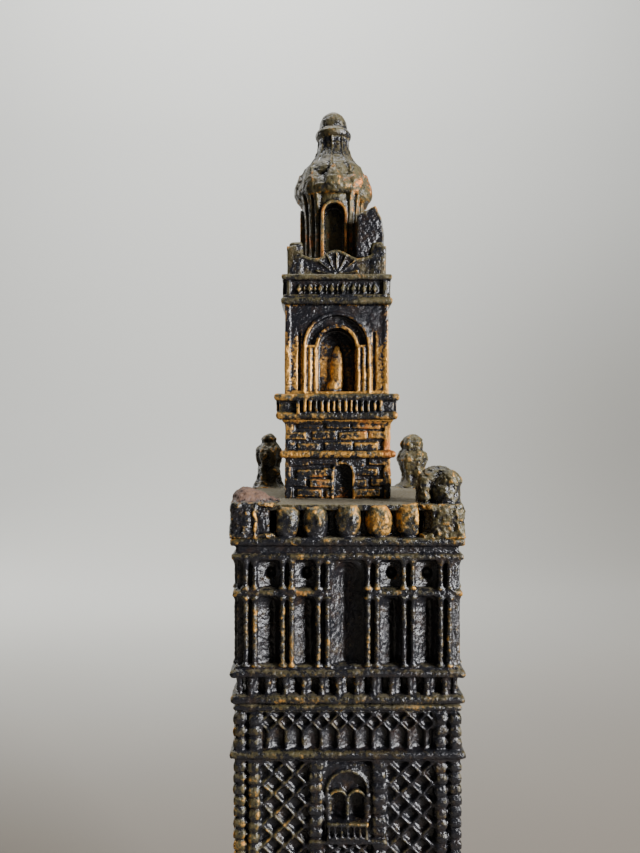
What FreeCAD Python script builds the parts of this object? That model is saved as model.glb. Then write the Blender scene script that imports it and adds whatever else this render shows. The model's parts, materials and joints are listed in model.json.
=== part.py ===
"""Miniature cathedral bell tower, a cast souvenir about 200 mm tall.

The tower stands on a stepped plinth with a felt pad. Four flat-cast walls, mitred and soldered at the
corners, make the square shaft, and four more make the belfry. A string-course plate lies between the two
and a deck plate closes the top. A tie rod from a nut in the plinth screws into the foot of the upper tower
and clamps the stack. The upper tower is a pile of smaller castings, each with a spigot in the top of the
one below: brick stage, cornice, arch stage, frieze block, crown, lantern drum, dome and top ball. Four
pinnacles stand in corner seats round the deck. The back two are whole, and the front two are stumps.

Millimetres, +Z up, origin at the centre of the felt pad's underside, front face towards -Y.
"""

import FreeCAD, Part
import math
import os

V = FreeCAD.Vector

# ---------------------------------------------------------------- driving dimensions
SHAFT_HALF = 17.0          # half the shaft's width, to the plain face
SHAFT_WALL = 2.2           # thickness of a shaft wall
BELFRY_HALF = 16.7         # half the belfry's width, to the plain face
BELFRY_WALL = 3.7          # thickness of a belfry wall, behind its deep niches
SOLDER_LEG = 2.2           # a solder bead's width on each wall
MOULDING_HALF = 17.8       # half width over the main mouldings

FELT_HALF, FELT_TOP = 22.3, 1.0
PLINTH_STEPS = [(23.0, 1.0, 5.0), (20.2, 5.0, 8.6), (18.6, 8.6, 10.0)]  # half width, bottom, top
PLINTH_TOP = 10.0

SHAFT_TOP = 101.5
PLATE_TOP = 102.4
BELFRY_TOP = 131.7
DECK_TOP = 132.7

# Height bands of the shaft, from the ground up: plain masonry, lower lattice, upper lattice, blind arcade.
MASONRY_TOP = 35.0
LOWER_PANEL = (36.2, 60.6)
UPPER_PANEL = (62.0, 94.0)
ARCADE = (95.6, 101.2)
PANEL_DEPTH = 0.7
QUOIN_WIDTH = 3.8
PANEL_WIDTH = 7.2
PILASTER_WIDTH = 2.4
WINDOW_PITCH = 14.4
LOWER_WINDOW_PITCH = 11.4
WINDOW_HALF = 2.1
WINDOW_RISE = 5.0          # sill to springing
WINDOW_DEPTH = 1.3
DOOR_SILL = 12.4

# Height bands of the belfry.
BALUSTRADE = (103.9, 106.6)
TALL_NICHE = (108.2, 116.3)       # sill and springing of the side arches
UPPER_ROW = (120.4, 124.3)
PARAPET_FOOT = 127.7
COLUMN_RADIUS = 0.38
COLUMN_PLACES = [3.05, 4.45, 8.5, 9.85, 14.05, 15.4]
NICHE_PLACES = [6.48, 11.95]
NICHE_RADIUS = 1.9
MAIN_NICHE_RADIUS = 2.65
MAIN_NICHE_SPRING = 121.2
BALUSTER_PITCH = 2.7
MERLON_PITCH = 4.75
SEAT = 10.7                # inner side of the corner seats that hold the pinnacles
PINNACLE_HALF = 3.6
PINNACLE_PLACE = SEAT + PINNACLE_HALF

# Upper tower. Its castings sit a little left of the centre, and the lantern a little more.
UPPER_X = -1.4
LANTERN_X = -1.8
CLOCK_HALF, CLOCK_TOP = 8.85, 145.7
CORNICE_HALF, CORNICE_TOP = 10.2, 149.9
DENTIL_PITCH = 1.1
ARCH_HALF, ARCH_TOP = 8.4, 164.6
FRIEZE_HALF, FRIEZE_TOP = 9.1, 169.6
CROWN_HALF, CROWN_TOP = 8.2, 175.2
CROWN_BLOCK = 2.7
CROWN_CORNER = (UPPER_X + CROWN_HALF - CROWN_BLOCK / 2, -CROWN_HALF + CROWN_BLOCK / 2)
JAR_PIN, JAR_TOP = 0.55, 181.3
DRUM_RADIUS, DRUM_TOP = 6.1, 184.3
DOME_TOP = 195.3
TIP_Z = 200.2
SPIGOT_DEPTH = 1.6
SPIGOT_GAP = 0.1

ROD_RADIUS = 2.0
ROD_TOP = 138.4
NUT_FLATS, NUT_HEIGHT = 7.0, 3.2
WASHER_RADIUS, WASHER_HEIGHT = 4.5, 0.8
RECESS_RADIUS, RECESS_TOP = 6.0, 6.2

PLINTH_BORE = ROD_RADIUS + 0.2
WEDGE_REACH = 40.0


# ---------------------------------------------------------------- small helpers
def slab(x0, x1, y0, y1, z0, z1):
    """A box between two corners."""
    return Part.makeBox(x1 - x0, y1 - y0, z1 - z0, V(x0, y0, z0))


def square(half, z0, z1, cx=0.0):
    """A square block centred on the tower's axis, or on cx."""
    return slab(cx - half, cx + half, -half, half, z0, z1)


def cylinder(radius, z0, z1, x=0.0, y=0.0):
    return Part.makeCylinder(radius, z1 - z0, V(x, y, z0))


def moulding(half, z0, z1, cx=0.0):
    """A square block whose outer upper and lower edges are rounded, as a cast string course."""
    block = square(half, z0, z1, cx)
    level = [e for e in block.Edges if abs(e.Vertexes[0].Z - e.Vertexes[1].Z) < 1e-6]
    return block.makeFillet((z1 - z0) * 0.42, level)


def revolved(profile, cx=0.0, cy=0.0):
    """A solid of revolution about a vertical axis, from (radius, height) points listed upwards."""
    points = [V(r, 0, z) for r, z in profile]
    if profile[0][0] > 0:
        points.insert(0, V(0, 0, profile[0][1]))
    if profile[-1][0] > 0:
        points.append(V(0, 0, profile[-1][1]))
    wire = Part.makePolygon(points + [points[0]])
    solid = Part.Face(wire).revolve(V(0, 0, 0), V(0, 0, 1), 360)
    solid.translate(V(cx, cy, 0))
    return solid


def arched_cutter(x, half, sill, spring, face, depth, outer=3.0):
    """A round-headed recess in the front face: a box with a half round on top, depth deep behind the face."""
    front, back = -(face + outer), -(face - depth)
    body = slab(x - half, x + half, front, back, sill, spring)
    head = Part.makeCylinder(half, back - front, V(x, front, spring), V(0, 1, 0))
    return body.fuse(head)


def niche_cutter(x, radius, sill, spring, face):
    """A half-round recess with a quarter-sphere head, as one body of revolution on the face plane."""
    crown = spring + radius
    shoulder = V(radius * math.sqrt(0.5), 0, spring + radius * math.sqrt(0.5))
    corners = [V(0, 0, crown), V(0, 0, sill), V(radius, 0, sill), V(radius, 0, spring)]
    edges = Part.makePolygon(corners).Edges + [Part.Arc(corners[3], shoulder, corners[0]).toShape()]
    solid = Part.Face(Part.Wire(edges)).revolve(V(0, 0, 0), V(0, 0, 1), 360)
    solid.rotate(V(0, 0, 0), V(0, 0, 1), -90)
    solid.translate(V(x, -face, 0))
    return solid


def fused(shapes):
    whole = shapes[0].multiFuse(shapes[1:]) if len(shapes) > 1 else shapes[0]
    return whole.removeSplitter()


def turned(shape, quarter, cx=0.0):
    """A copy turned by quarter turns about the vertical axis through cx."""
    copy = shape.copy()
    copy.rotate(V(cx, 0, 0), V(0, 0, 1), 90 * quarter)
    return copy


def front_wedge():
    """The quarter of the plan that belongs to the front wall, with its mitres at 45 degrees."""
    corners = [V(0, 0, 0), V(-WEDGE_REACH, -WEDGE_REACH, 0), V(WEDGE_REACH, -WEDGE_REACH, 0), V(0, 0, 0)]
    prism = Part.Face(Part.makePolygon(corners)).extrude(V(0, 0, TIP_Z))
    return prism


SIDES = ["front", "right", "back", "left"]
CORNERS = ["back_right", "back_left", "front_left", "front_right"]


def save(shape, node):
    """Writes one node's STEP file, after a look at what it is."""
    solids = shape.Solids
    body = solids[0] if len(solids) == 1 else Part.makeCompound(solids)
    print(f"{node:28s} {len(solids)} solid(s) {body.Volume:9.1f} mm3 valid {body.isValid()}")
    body.exportStep(os.path.join("parts", node + ".step"))


# ---------------------------------------------------------------- base
def felt_pad():
    pad = square(FELT_HALF, 0.0, FELT_TOP)
    return pad.makeFillet(1.2, [e for e in pad.Edges if abs(e.Vertexes[0].Z - e.Vertexes[1].Z) > 0.5])


def plinth():
    """Solid stepped base with a recess below for the nut and a bore for the tie rod."""
    steps = [moulding(half, z0, z1) for half, z0, z1 in PLINTH_STEPS]
    key = square(SHAFT_HALF - SHAFT_WALL - SPIGOT_GAP, PLINTH_TOP, PLINTH_TOP + SPIGOT_DEPTH)
    recess = cylinder(RECESS_RADIUS, FELT_TOP, RECESS_TOP)
    bore = cylinder(PLINTH_BORE, RECESS_TOP, PLINTH_TOP + SPIGOT_DEPTH)
    return fused(steps + [key]).cut(recess).cut(bore)


def tie_rod():
    rod = cylinder(ROD_RADIUS, RECESS_TOP - WASHER_HEIGHT - NUT_HEIGHT - 0.6, ROD_TOP)
    ends = [e for e in rod.Edges if len(e.Vertexes) == 1]
    return rod.makeChamfer(0.3, ends)


def tie_rod_washer():
    hole = cylinder(ROD_RADIUS + 0.15, RECESS_TOP - 2, RECESS_TOP + 1)
    return cylinder(WASHER_RADIUS, RECESS_TOP - WASHER_HEIGHT, RECESS_TOP).cut(hole)


def tie_rod_nut():
    top = RECESS_TOP - WASHER_HEIGHT
    across_corners = NUT_FLATS / math.cos(math.pi / 6) / 2
    corners = [V(across_corners * math.cos(math.pi / 3 * k), across_corners * math.sin(math.pi / 3 * k), 0)
               for k in range(7)]
    corners[6] = corners[0]
    body = Part.Face(Part.makePolygon(corners)).extrude(V(0, 0, NUT_HEIGHT))
    body.translate(V(0, 0, top - NUT_HEIGHT))
    return body.cut(cylinder(ROD_RADIUS, top - NUT_HEIGHT - 1, top + 1))


# ---------------------------------------------------------------- shaft
def window_sills():
    """Sill heights of the windows, downwards: two in each lattice tier and one in the plain masonry."""
    upper, lower = UPPER_PANEL[1] - 9.2, LOWER_PANEL[1] - 9.6
    return [upper, upper - WINDOW_PITCH, lower, lower - LOWER_WINDOW_PITCH, MASONRY_TOP - 11.0]


def shaft_wall_front():
    """One wall of the shaft: corner quoins, two lattice panels and a window strip in each tier."""
    outer = [square(SHAFT_HALF, PLINTH_TOP, SHAFT_TOP),
             moulding(MOULDING_HALF, PLINTH_TOP, PLINTH_TOP + 2.0),
             moulding(MOULDING_HALF - 0.2, MASONRY_TOP, LOWER_PANEL[0]),
             moulding(MOULDING_HALF - 0.2, LOWER_PANEL[1], UPPER_PANEL[0] - 0.2),
             moulding(MOULDING_HALF, UPPER_PANEL[1] + 0.4, ARCADE[0])]
    inside = square(SHAFT_HALF - SHAFT_WALL, PLINTH_TOP - 1, SHAFT_TOP + 1)
    wall = fused(outer).cut(inside).common(front_wedge())

    panel_x = SHAFT_HALF - QUOIN_WIDTH - PANEL_WIDTH
    cutters = []
    for z0, z1 in (LOWER_PANEL, UPPER_PANEL):
        for left in (-panel_x - PANEL_WIDTH, panel_x):
            right, back = left + PANEL_WIDTH, -SHAFT_HALF + PANEL_DEPTH
            cutters.append(slab(left, right, -SHAFT_HALF - 0.4, back, z0 + 0.3, z1 - 0.3))
    openings = [(sill, sill + WINDOW_RISE) for sill in window_sills()]
    openings.append((DOOR_SILL, DOOR_SILL + WINDOW_RISE + 0.6))
    for sill, spring in openings:
        cutters.append(arched_cutter(0, WINDOW_HALF, sill, spring, SHAFT_HALF, WINDOW_DEPTH))
    arcade_sill, arcade_spring = ARCADE[0] + 0.2, ARCADE[0] + 3.2
    for k in range(-5, 5):
        x = BALUSTER_PITCH * (k + 0.5)
        cutters.append(arched_cutter(x, 0.85, arcade_sill, arcade_spring, SHAFT_HALF, 0.8))
    wall = wall.cut(Part.makeCompound(cutters))

    ledge = WINDOW_HALF + 0.9
    balconies = [slab(-ledge, ledge, -SHAFT_HALF - 0.75, -SHAFT_HALF + PANEL_DEPTH, z - 2.2, z - 0.1)
                 for z in window_sills()[:4]]
    pilaster_x = WINDOW_HALF + 1.5
    pilasters = [slab(x, x + PILASTER_WIDTH, -SHAFT_HALF - 0.35, -SHAFT_HALF + 0.2, z0, z1)
                 for z0, z1 in (LOWER_PANEL, UPPER_PANEL)
                 for x in (-pilaster_x - PILASTER_WIDTH, pilaster_x)]
    return fused([wall] + balconies + pilasters)


def solder_bead(half, z0, z1):
    """The bead of solder that joins two walls, in the inner corner at the back right."""
    end = half - SOLDER_LEG
    corners = [V(half, half, z0), V(end, half, z0), V(half, end, z0), V(half, half, z0)]
    return Part.Face(Part.makePolygon(corners)).extrude(V(0, 0, z1 - z0))


def string_plate():
    """Flat plate between the shaft and the belfry. Its edge shows as a thin string course."""
    plate = square(SHAFT_HALF + 0.3, SHAFT_TOP, PLATE_TOP)
    key = square(SHAFT_HALF - SHAFT_WALL - SPIGOT_GAP, SHAFT_TOP - 1.2, SHAFT_TOP)
    return fused([plate, key]).cut(cylinder(PLINTH_BORE, SHAFT_TOP - 3, PLATE_TOP + 1))


# ---------------------------------------------------------------- belfry
def belfry_wall_front():
    """One belfry wall: balustrade, five arches between paired columns, an upper row and a parapet."""
    outer = [square(BELFRY_HALF, PLATE_TOP, PARAPET_FOOT),
             square(BELFRY_HALF - 1.1, PARAPET_FOOT, BELFRY_TOP),
             moulding(MOULDING_HALF, PLATE_TOP, BALUSTRADE[0]),
             moulding(MOULDING_HALF, BALUSTRADE[1], TALL_NICHE[0]),
             moulding(MOULDING_HALF - 0.2, UPPER_ROW[0] - 1.5, UPPER_ROW[0]),
             moulding(MOULDING_HALF, UPPER_ROW[1], UPPER_ROW[1] + 1.0),
             moulding(MOULDING_HALF, PARAPET_FOOT - 1.2, PARAPET_FOOT)]
    inside = square(BELFRY_HALF - BELFRY_WALL, PLATE_TOP - 1, BELFRY_TOP + 1)
    wall = fused(outer).cut(inside).common(front_wedge())

    cutters = [slab(-15.4, 15.4, -BELFRY_HALF - 0.1, -BELFRY_HALF + 0.8, *BALUSTRADE)]
    for x in NICHE_PLACES:
        for side in (-x, x):
            cutters.append(niche_cutter(side, NICHE_RADIUS, *TALL_NICHE, BELFRY_HALF))
            cutters.append(slab(side - 1.6, side + 1.6, -BELFRY_HALF - 1, -BELFRY_HALF + 0.8,
                                UPPER_ROW[0] + 0.2, UPPER_ROW[1] - 0.2))
    cutters.append(arched_cutter(0, MAIN_NICHE_RADIUS, TALL_NICHE[0], MAIN_NICHE_SPRING, BELFRY_HALF, 2.5))
    wall = wall.cut(Part.makeCompound(cutters))

    column = cylinder(COLUMN_RADIUS, TALL_NICHE[0] - 0.2, UPPER_ROW[1] + 0.2, 0, -BELFRY_HALF - 0.15)
    columns = []
    for x in COLUMN_PLACES:
        for side in (-x, x):
            columns.append(column.translated(V(side, 0, 0)))
    baluster = cylinder(0.5, BALUSTRADE[0] - 0.2, BALUSTRADE[1] + 0.2, 0, -BELFRY_HALF + 0.45)
    balusters = [baluster.translated(V(BALUSTER_PITCH * k, 0, 0)) for k in range(-5, 6)]
    merlon = [(0.9, PARAPET_FOOT - 0.3), (1.0, PARAPET_FOOT + 0.6), (1.5, PARAPET_FOOT + 2.0),
              (1.35, PARAPET_FOOT + 3.2), (1.2, BELFRY_TOP)]
    merlons = [revolved(merlon, MERLON_PITCH * k, -BELFRY_HALF + 1.2) for k in range(-2, 3)]
    wall = fused([wall] + columns + balusters + merlons)
    return wall.cut(Part.makeCompound(corner_seats()))


def corner_seats(z0=PARAPET_FOOT, z1=DECK_TOP + 1):
    """The four square corners that are left empty for the pinnacles."""
    seat = slab(SEAT, SEAT + 10, SEAT, SEAT + 10, z0, z1)
    return [turned(seat, q) for q in range(4)]


def deck_plate():
    """Terrace floor on top of the belfry walls, with a key that drops inside them."""
    plate = square(BELFRY_HALF - 0.1, BELFRY_TOP, DECK_TOP)
    key = square(BELFRY_HALF - BELFRY_WALL - SPIGOT_GAP, BELFRY_TOP - 1.2, BELFRY_TOP)
    hole = cylinder(PLINTH_BORE, BELFRY_TOP - 3, DECK_TOP + 1)
    return fused([plate, key]).cut(Part.makeCompound([hole] + corner_seats(BELFRY_TOP - 3)))


# ---------------------------------------------------------------- pinnacles
URN_PROFILE = [(3.3, 0.0), (3.0, 0.6), (2.0, 1.5), (1.9, 3.0), (2.3, 4.6), (2.9, 6.2), (2.8, 7.1),
               (2.0, 7.9), (2.15, 9.0), (1.7, 10.1), (0.7, 10.8)]
STUMP_PROFILE = [(3.6, 0.0), (3.5, 2.6), (3.2, 4.4), (2.2, 5.5), (0.8, 5.9)]
BREAK_PROFILE = [(3.4, 0.0), (2.4, 0.7), (0.9, 1.3)]


def pinnacle(x, y, profile):
    """A square post in its corner seat, and what stands or is left on it."""
    h = PINNACLE_HALF
    post = slab(x - h, x + h, y - h, y + h, PARAPET_FOOT, DECK_TOP)
    upright = [e for e in post.Edges if abs(e.Vertexes[0].Z - e.Vertexes[1].Z) > 1 and
               abs(e.Vertexes[0].X) > SEAT + 1 and abs(e.Vertexes[0].Y) > SEAT + 1]
    post = post.makeFillet(1.6, upright)
    top = revolved([(r, z + DECK_TOP) for r, z in profile], x, y)
    return fused([post, top])


# ---------------------------------------------------------------- upper tower
def spigot(half, z, cx):
    """The square foot of a casting, which drops into the one below."""
    return square(half - SPIGOT_GAP, z - SPIGOT_DEPTH, z, cx)


def clock_stage():
    """Hollow brick block with a thick floor, tapped for the tie rod."""
    x = UPPER_X
    body = fused([square(CLOCK_HALF, DECK_TOP, CLOCK_TOP, x),
                  moulding(CLOCK_HALF + 0.55, 139.5, 140.5, x)])
    cavity = square(CLOCK_HALF - 1.9, 139.8, CLOCK_TOP + 1, x)
    return body.cut(cavity).cut(cylinder(ROD_RADIUS, DECK_TOP - 1, ROD_TOP + 0.6))


def stage_cornice():
    x = UPPER_X
    parts = [moulding(CORNICE_HALF - 0.3, CLOCK_TOP, CLOCK_TOP + 1.3, x),
             square(CORNICE_HALF - 0.8, CLOCK_TOP + 1.0, CORNICE_TOP - 0.6, x),
             moulding(CORNICE_HALF, CORNICE_TOP - 1.0, CORNICE_TOP, x),
             spigot(CLOCK_HALF - 1.9, CLOCK_TOP, x)]
    face = -CORNICE_HALF
    dentil = slab(-0.25, 0.25, face + 0.35, face + 1.0, CLOCK_TOP + 1.2, CORNICE_TOP - 0.9)
    for quarter in range(4):
        for k in range(-6, 7):
            block = dentil.translated(V(x + DENTIL_PITCH * k, 0, 0))
            parts.append(turned(block, quarter, x))
    socket = square(5.0, CORNICE_TOP - SPIGOT_DEPTH - 0.2, CORNICE_TOP + 1, x)
    return fused(parts).cut(socket)


def arch_stage():
    """Square stage with a round-headed niche in each face, framed by slender columns."""
    x = UPPER_X
    body = square(ARCH_HALF, CORNICE_TOP, ARCH_TOP, x)
    spring = 157.9
    trims = []
    for quarter in range(4):
        outer = arched_cutter(x, 5.4, CORNICE_TOP + 0.3, spring - 0.8, ARCH_HALF, 0.45)
        inner = arched_cutter(x, 3.0, CORNICE_TOP + 0.3, spring, ARCH_HALF, 2.0)
        body = body.cut(turned(outer.fuse(inner), quarter, x))
        for place in (3.4, 4.2, 5.1):
            for side in (-place, place):
                column = cylinder(0.28, CORNICE_TOP, spring, x + side, -ARCH_HALF + 0.25)
                trims.append(turned(column, quarter, x))
    socket = square(5.0, ARCH_TOP - SPIGOT_DEPTH - 0.2, ARCH_TOP + 1, x)
    return fused([body, spigot(5.0, CORNICE_TOP, x)] + trims).cut(socket)


def frieze_block():
    x = UPPER_X
    parts = [moulding(FRIEZE_HALF + 0.1, ARCH_TOP, ARCH_TOP + 1.2, x),
             square(FRIEZE_HALF - 0.4, ARCH_TOP + 0.9, FRIEZE_TOP - 0.5, x),
             moulding(FRIEZE_HALF, FRIEZE_TOP - 0.9, FRIEZE_TOP, x),
             spigot(5.0, ARCH_TOP, x)]
    socket = cylinder(4.0, FRIEZE_TOP - SPIGOT_DEPTH - 0.2, FRIEZE_TOP + 1, LANTERN_X)
    return fused(parts).cut(socket)


def crown():
    """Low parapet round the lantern's foot: a scalloped crest on each side and a block at each corner."""
    x = UPPER_X
    foot = square(CROWN_HALF, FRIEZE_TOP, FRIEZE_TOP + 2.2, x)
    parts = [foot]
    for quarter in range(4):
        shell = Part.makeCylinder(3.4, 1.4, V(x, -CROWN_HALF, FRIEZE_TOP + 0.4), V(0, 1, 0))
        shell = shell.common(slab(x - 4, x + 4, -CROWN_HALF - 1, -CROWN_HALF + 2, FRIEZE_TOP, CROWN_TOP))
        parts.append(turned(shell, quarter, x))
        left, front = x - CROWN_HALF, -CROWN_HALF
        block = slab(left, left + CROWN_BLOCK, front, front + CROWN_BLOCK, FRIEZE_TOP, CROWN_TOP)
        parts.append(turned(block, quarter, x))
    inside = cylinder(DRUM_RADIUS + 0.1, FRIEZE_TOP - 1, CROWN_TOP + 2, LANTERN_X)
    pin_hole = cylinder(JAR_PIN, CROWN_TOP - 1.4, CROWN_TOP + 1, *CROWN_CORNER)
    return fused(parts).cut(inside).cut(pin_hole)


def crown_jar():
    """The one jar left on the crown's corners, a rough lump pinned to the front right block."""
    x, y = CROWN_CORNER
    z = CROWN_TOP
    profile = [(1.3, z), (1.5, z + 1.2), (2.0, z + 3.2), (1.7, z + 4.8), (0.8, JAR_TOP)]
    pin = cylinder(JAR_PIN, CROWN_TOP - 1.4, CROWN_TOP + 0.5, x, y)
    return fused([revolved(profile, x, y), pin])


def lantern_drum():
    """Round lantern with four arches and a pair of pilasters on each pier."""
    body = cylinder(DRUM_RADIUS - 0.3, FRIEZE_TOP, DRUM_TOP, LANTERN_X)
    spring = 180.9
    for quarter in range(4):
        arch = arched_cutter(LANTERN_X, 1.75, FRIEZE_TOP + 1.5, spring, DRUM_RADIUS, 2.0)
        body = body.cut(turned(arch, quarter, LANTERN_X))
    trims = []
    for quarter in range(4):
        for offset in (-58, -45, -32):
            a = math.radians(90 * quarter + offset)
            trims.append(cylinder(0.5, FRIEZE_TOP, DRUM_TOP, LANTERN_X + (DRUM_RADIUS - 0.5) * math.cos(a),
                                  (DRUM_RADIUS - 0.5) * math.sin(a)))
    foot = cylinder(4.0 - SPIGOT_GAP, FRIEZE_TOP - SPIGOT_DEPTH, FRIEZE_TOP, LANTERN_X)
    return fused([body, foot] + trims)


DOME_PROFILE = [(6.7, 184.3), (7.0, 185.3), (6.8, 186.2), (6.1, 187.2), (5.9, 188.9), (5.1, 189.9),
                (4.2, 190.7), (3.55, 191.9), (3.05, 193.1), (2.85, 194.5), (2.9, 195.3)]
BALL_PROFILE = [(3.1, 195.3), (3.15, 196.4), (2.5, 197.4), (2.35, 198.2), (1.95, 199.1), (1.2, 199.9),
                (0.3, 200.2)]


def lantern_dome():
    return revolved(DOME_PROFILE, LANTERN_X).cut(cylinder(1.1, 193.6, DOME_TOP + 1, LANTERN_X))


def top_ball():
    foot = cylinder(1.0, 193.8, DOME_TOP, LANTERN_X)
    return fused([revolved(BALL_PROFILE, LANTERN_X), foot])


# ---------------------------------------------------------------- build everything
def main():
    os.makedirs("parts", exist_ok=True)
    save(felt_pad(), "felt_pad")
    save(plinth(), "plinth")
    save(tie_rod(), "tie_rod")
    save(tie_rod_washer(), "tie_rod_washer")
    save(tie_rod_nut(), "tie_rod_nut")

    shaft, belfry = shaft_wall_front(), belfry_wall_front()
    for quarter, side in enumerate(SIDES):
        save(turned(shaft, quarter), "shaft_wall_" + side)
        save(turned(belfry, quarter), "belfry_wall_" + side)
    shaft_bead = solder_bead(SHAFT_HALF - SHAFT_WALL, PLINTH_TOP + 2.0, SHAFT_TOP - 1.6)
    belfry_bead = solder_bead(BELFRY_HALF - BELFRY_WALL, PLATE_TOP + 0.4, PARAPET_FOOT - 0.4)
    for quarter, corner in enumerate(CORNERS):
        save(turned(shaft_bead, quarter), "shaft_solder_" + corner)
        save(turned(belfry_bead, quarter), "belfry_solder_" + corner)
    save(string_plate(), "string_plate")
    save(deck_plate(), "deck_plate")

    p = PINNACLE_PLACE
    save(pinnacle(-p, p, URN_PROFILE), "pinnacle_back_left")
    save(pinnacle(p, p, URN_PROFILE), "pinnacle_back_right")
    save(pinnacle(p, -p, STUMP_PROFILE), "pinnacle_front_right")
    save(pinnacle(-p, -p, BREAK_PROFILE), "pinnacle_front_left")

    save(clock_stage(), "clock_stage")
    save(stage_cornice(), "stage_cornice")
    save(arch_stage(), "arch_stage")
    save(frieze_block(), "frieze_block")
    save(crown(), "crown_parapet")
    save(crown_jar(), "crown_jar")
    save(lantern_drum(), "lantern_drum")
    save(lantern_dome(), "lantern_dome")
    save(top_ball(), "top_ball")


main()
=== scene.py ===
# %% [markdown]
# # A cast souvenir bell tower
#
# The real thing is a stack of crude little zinc castings: brass plated, dipped in black lacquer, and then
# rubbed until the brass shows again on everything that stands out. Each casting is modelled the way a mould
# maker would: simple closed shapes are gathered in a mould, melted into one skin, and given the soft edges,
# the pitting and the rub marks that a thousand handlings leave.

# %% The frame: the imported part, and its box
import json
import math

import bpy
from mathutils import Matrix, Vector

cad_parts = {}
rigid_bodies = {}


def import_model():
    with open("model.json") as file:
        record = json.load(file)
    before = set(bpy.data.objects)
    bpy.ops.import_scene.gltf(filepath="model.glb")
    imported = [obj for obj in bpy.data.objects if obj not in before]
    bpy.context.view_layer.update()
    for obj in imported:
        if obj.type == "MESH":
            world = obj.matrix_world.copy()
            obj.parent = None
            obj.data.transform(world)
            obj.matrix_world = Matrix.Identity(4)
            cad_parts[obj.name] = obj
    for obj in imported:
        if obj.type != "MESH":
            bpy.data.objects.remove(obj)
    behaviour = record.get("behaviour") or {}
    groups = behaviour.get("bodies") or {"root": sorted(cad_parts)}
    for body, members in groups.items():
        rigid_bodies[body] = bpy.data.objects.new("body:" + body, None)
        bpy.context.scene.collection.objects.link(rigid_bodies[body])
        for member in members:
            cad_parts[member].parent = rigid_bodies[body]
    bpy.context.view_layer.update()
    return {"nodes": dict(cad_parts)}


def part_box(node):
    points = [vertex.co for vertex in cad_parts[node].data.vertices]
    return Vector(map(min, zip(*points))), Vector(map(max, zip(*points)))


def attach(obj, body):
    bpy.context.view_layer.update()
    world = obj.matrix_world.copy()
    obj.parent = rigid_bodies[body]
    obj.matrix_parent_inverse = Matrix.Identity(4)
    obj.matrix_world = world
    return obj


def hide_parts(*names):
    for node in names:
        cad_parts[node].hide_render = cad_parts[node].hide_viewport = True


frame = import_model()
print("frame:", len(frame["nodes"]), "nodes")

# %% [markdown]
# All shapes are drawn in millimetres, because the relief is a fraction of a millimetre deep. A finished
# casting is brought to metres at the very end. Places come from the frame's boxes, so a casting always lands
# on the node that it stands for.

# %% Millimetres
MM = 0.001


def node_box(node):
    """Lowest and highest corner of a frame node, in millimetres."""
    low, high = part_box(node)
    return Vector(low) / MM, Vector(high) / MM


def link(obj):
    bpy.context.scene.collection.objects.link(obj)
    return obj


SHAFT_LOW, SHAFT_HIGH = node_box("shaft_wall_front")
CLOCK_LOW, CLOCK_HIGH = node_box("clock_stage")
DRUM_LOW, DRUM_HIGH = node_box("lantern_drum")
MOULDING = SHAFT_HIGH.x                         # half width over the shaft's mouldings
FACE = MOULDING - 0.8                           # half width over its walls
UPPER_X = (CLOCK_LOW.x + CLOCK_HIGH.x) / 2      # axis of the square upper stages
LANTERN_X = (DRUM_LOW.x + DRUM_HIGH.x) / 2      # axis of the round lantern
print(f"shaft half {FACE:.2f} mm, upper tower at x {UPPER_X:.2f}, lantern at x {LANTERN_X:.2f}")


# %% [markdown]
# Node trees are written as expressions. A Wire is one socket of a tree, and the ordinary operators add the
# Math or Vector Math node that does the sum, so a formula in the code reads like the formula on paper.

# %% Wires and nets
class Wire:
    """One socket. Arithmetic on it adds the node that works it out."""

    def __init__(self, net, socket):
        self.net, self.socket = net, socket

    def is_vector(self):
        return self.socket.type in ("VECTOR", "RGBA")

    def apply(self, operation, *values):
        vectors = [v for v in values if isinstance(v, tuple) or (isinstance(v, Wire) and v.is_vector())]
        kind = "ShaderNodeVectorMath" if vectors else "ShaderNodeMath"
        return self.net.add(kind, {"operation": operation}, dict(enumerate(values)))

    def __add__(self, other): return self.apply("ADD", self, other)
    def __radd__(self, other): return self.apply("ADD", other, self)
    def __sub__(self, other): return self.apply("SUBTRACT", self, other)
    def __rsub__(self, other): return self.apply("SUBTRACT", other, self)
    def __mul__(self, other): return self.apply("MULTIPLY", self, other)
    def __rmul__(self, other): return self.apply("MULTIPLY", other, self)
    def __truediv__(self, other): return self.apply("DIVIDE", self, other)
    def __mod__(self, other): return self.apply("FLOORED_MODULO", self, other)
    def __neg__(self): return self.apply("MULTIPLY", self, -1.0)
    def above(self, other): return self.apply("MAXIMUM", self, other)
    def below(self, other): return self.apply("MINIMUM", self, other)
    def floor(self): return self.apply("FLOOR", self)
    def sine(self): return self.apply("SINE", self)
    def dot(self, other): return self.apply("DOT_PRODUCT", self, other)

    def step(self, low, high):
        """0 below low, 1 above high, and a smooth rise between them."""
        return self.net.add("ShaderNodeMapRange", {"interpolation_type": "SMOOTHSTEP"},
                            {"Value": self, "From Min": low, "From Max": high})


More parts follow.
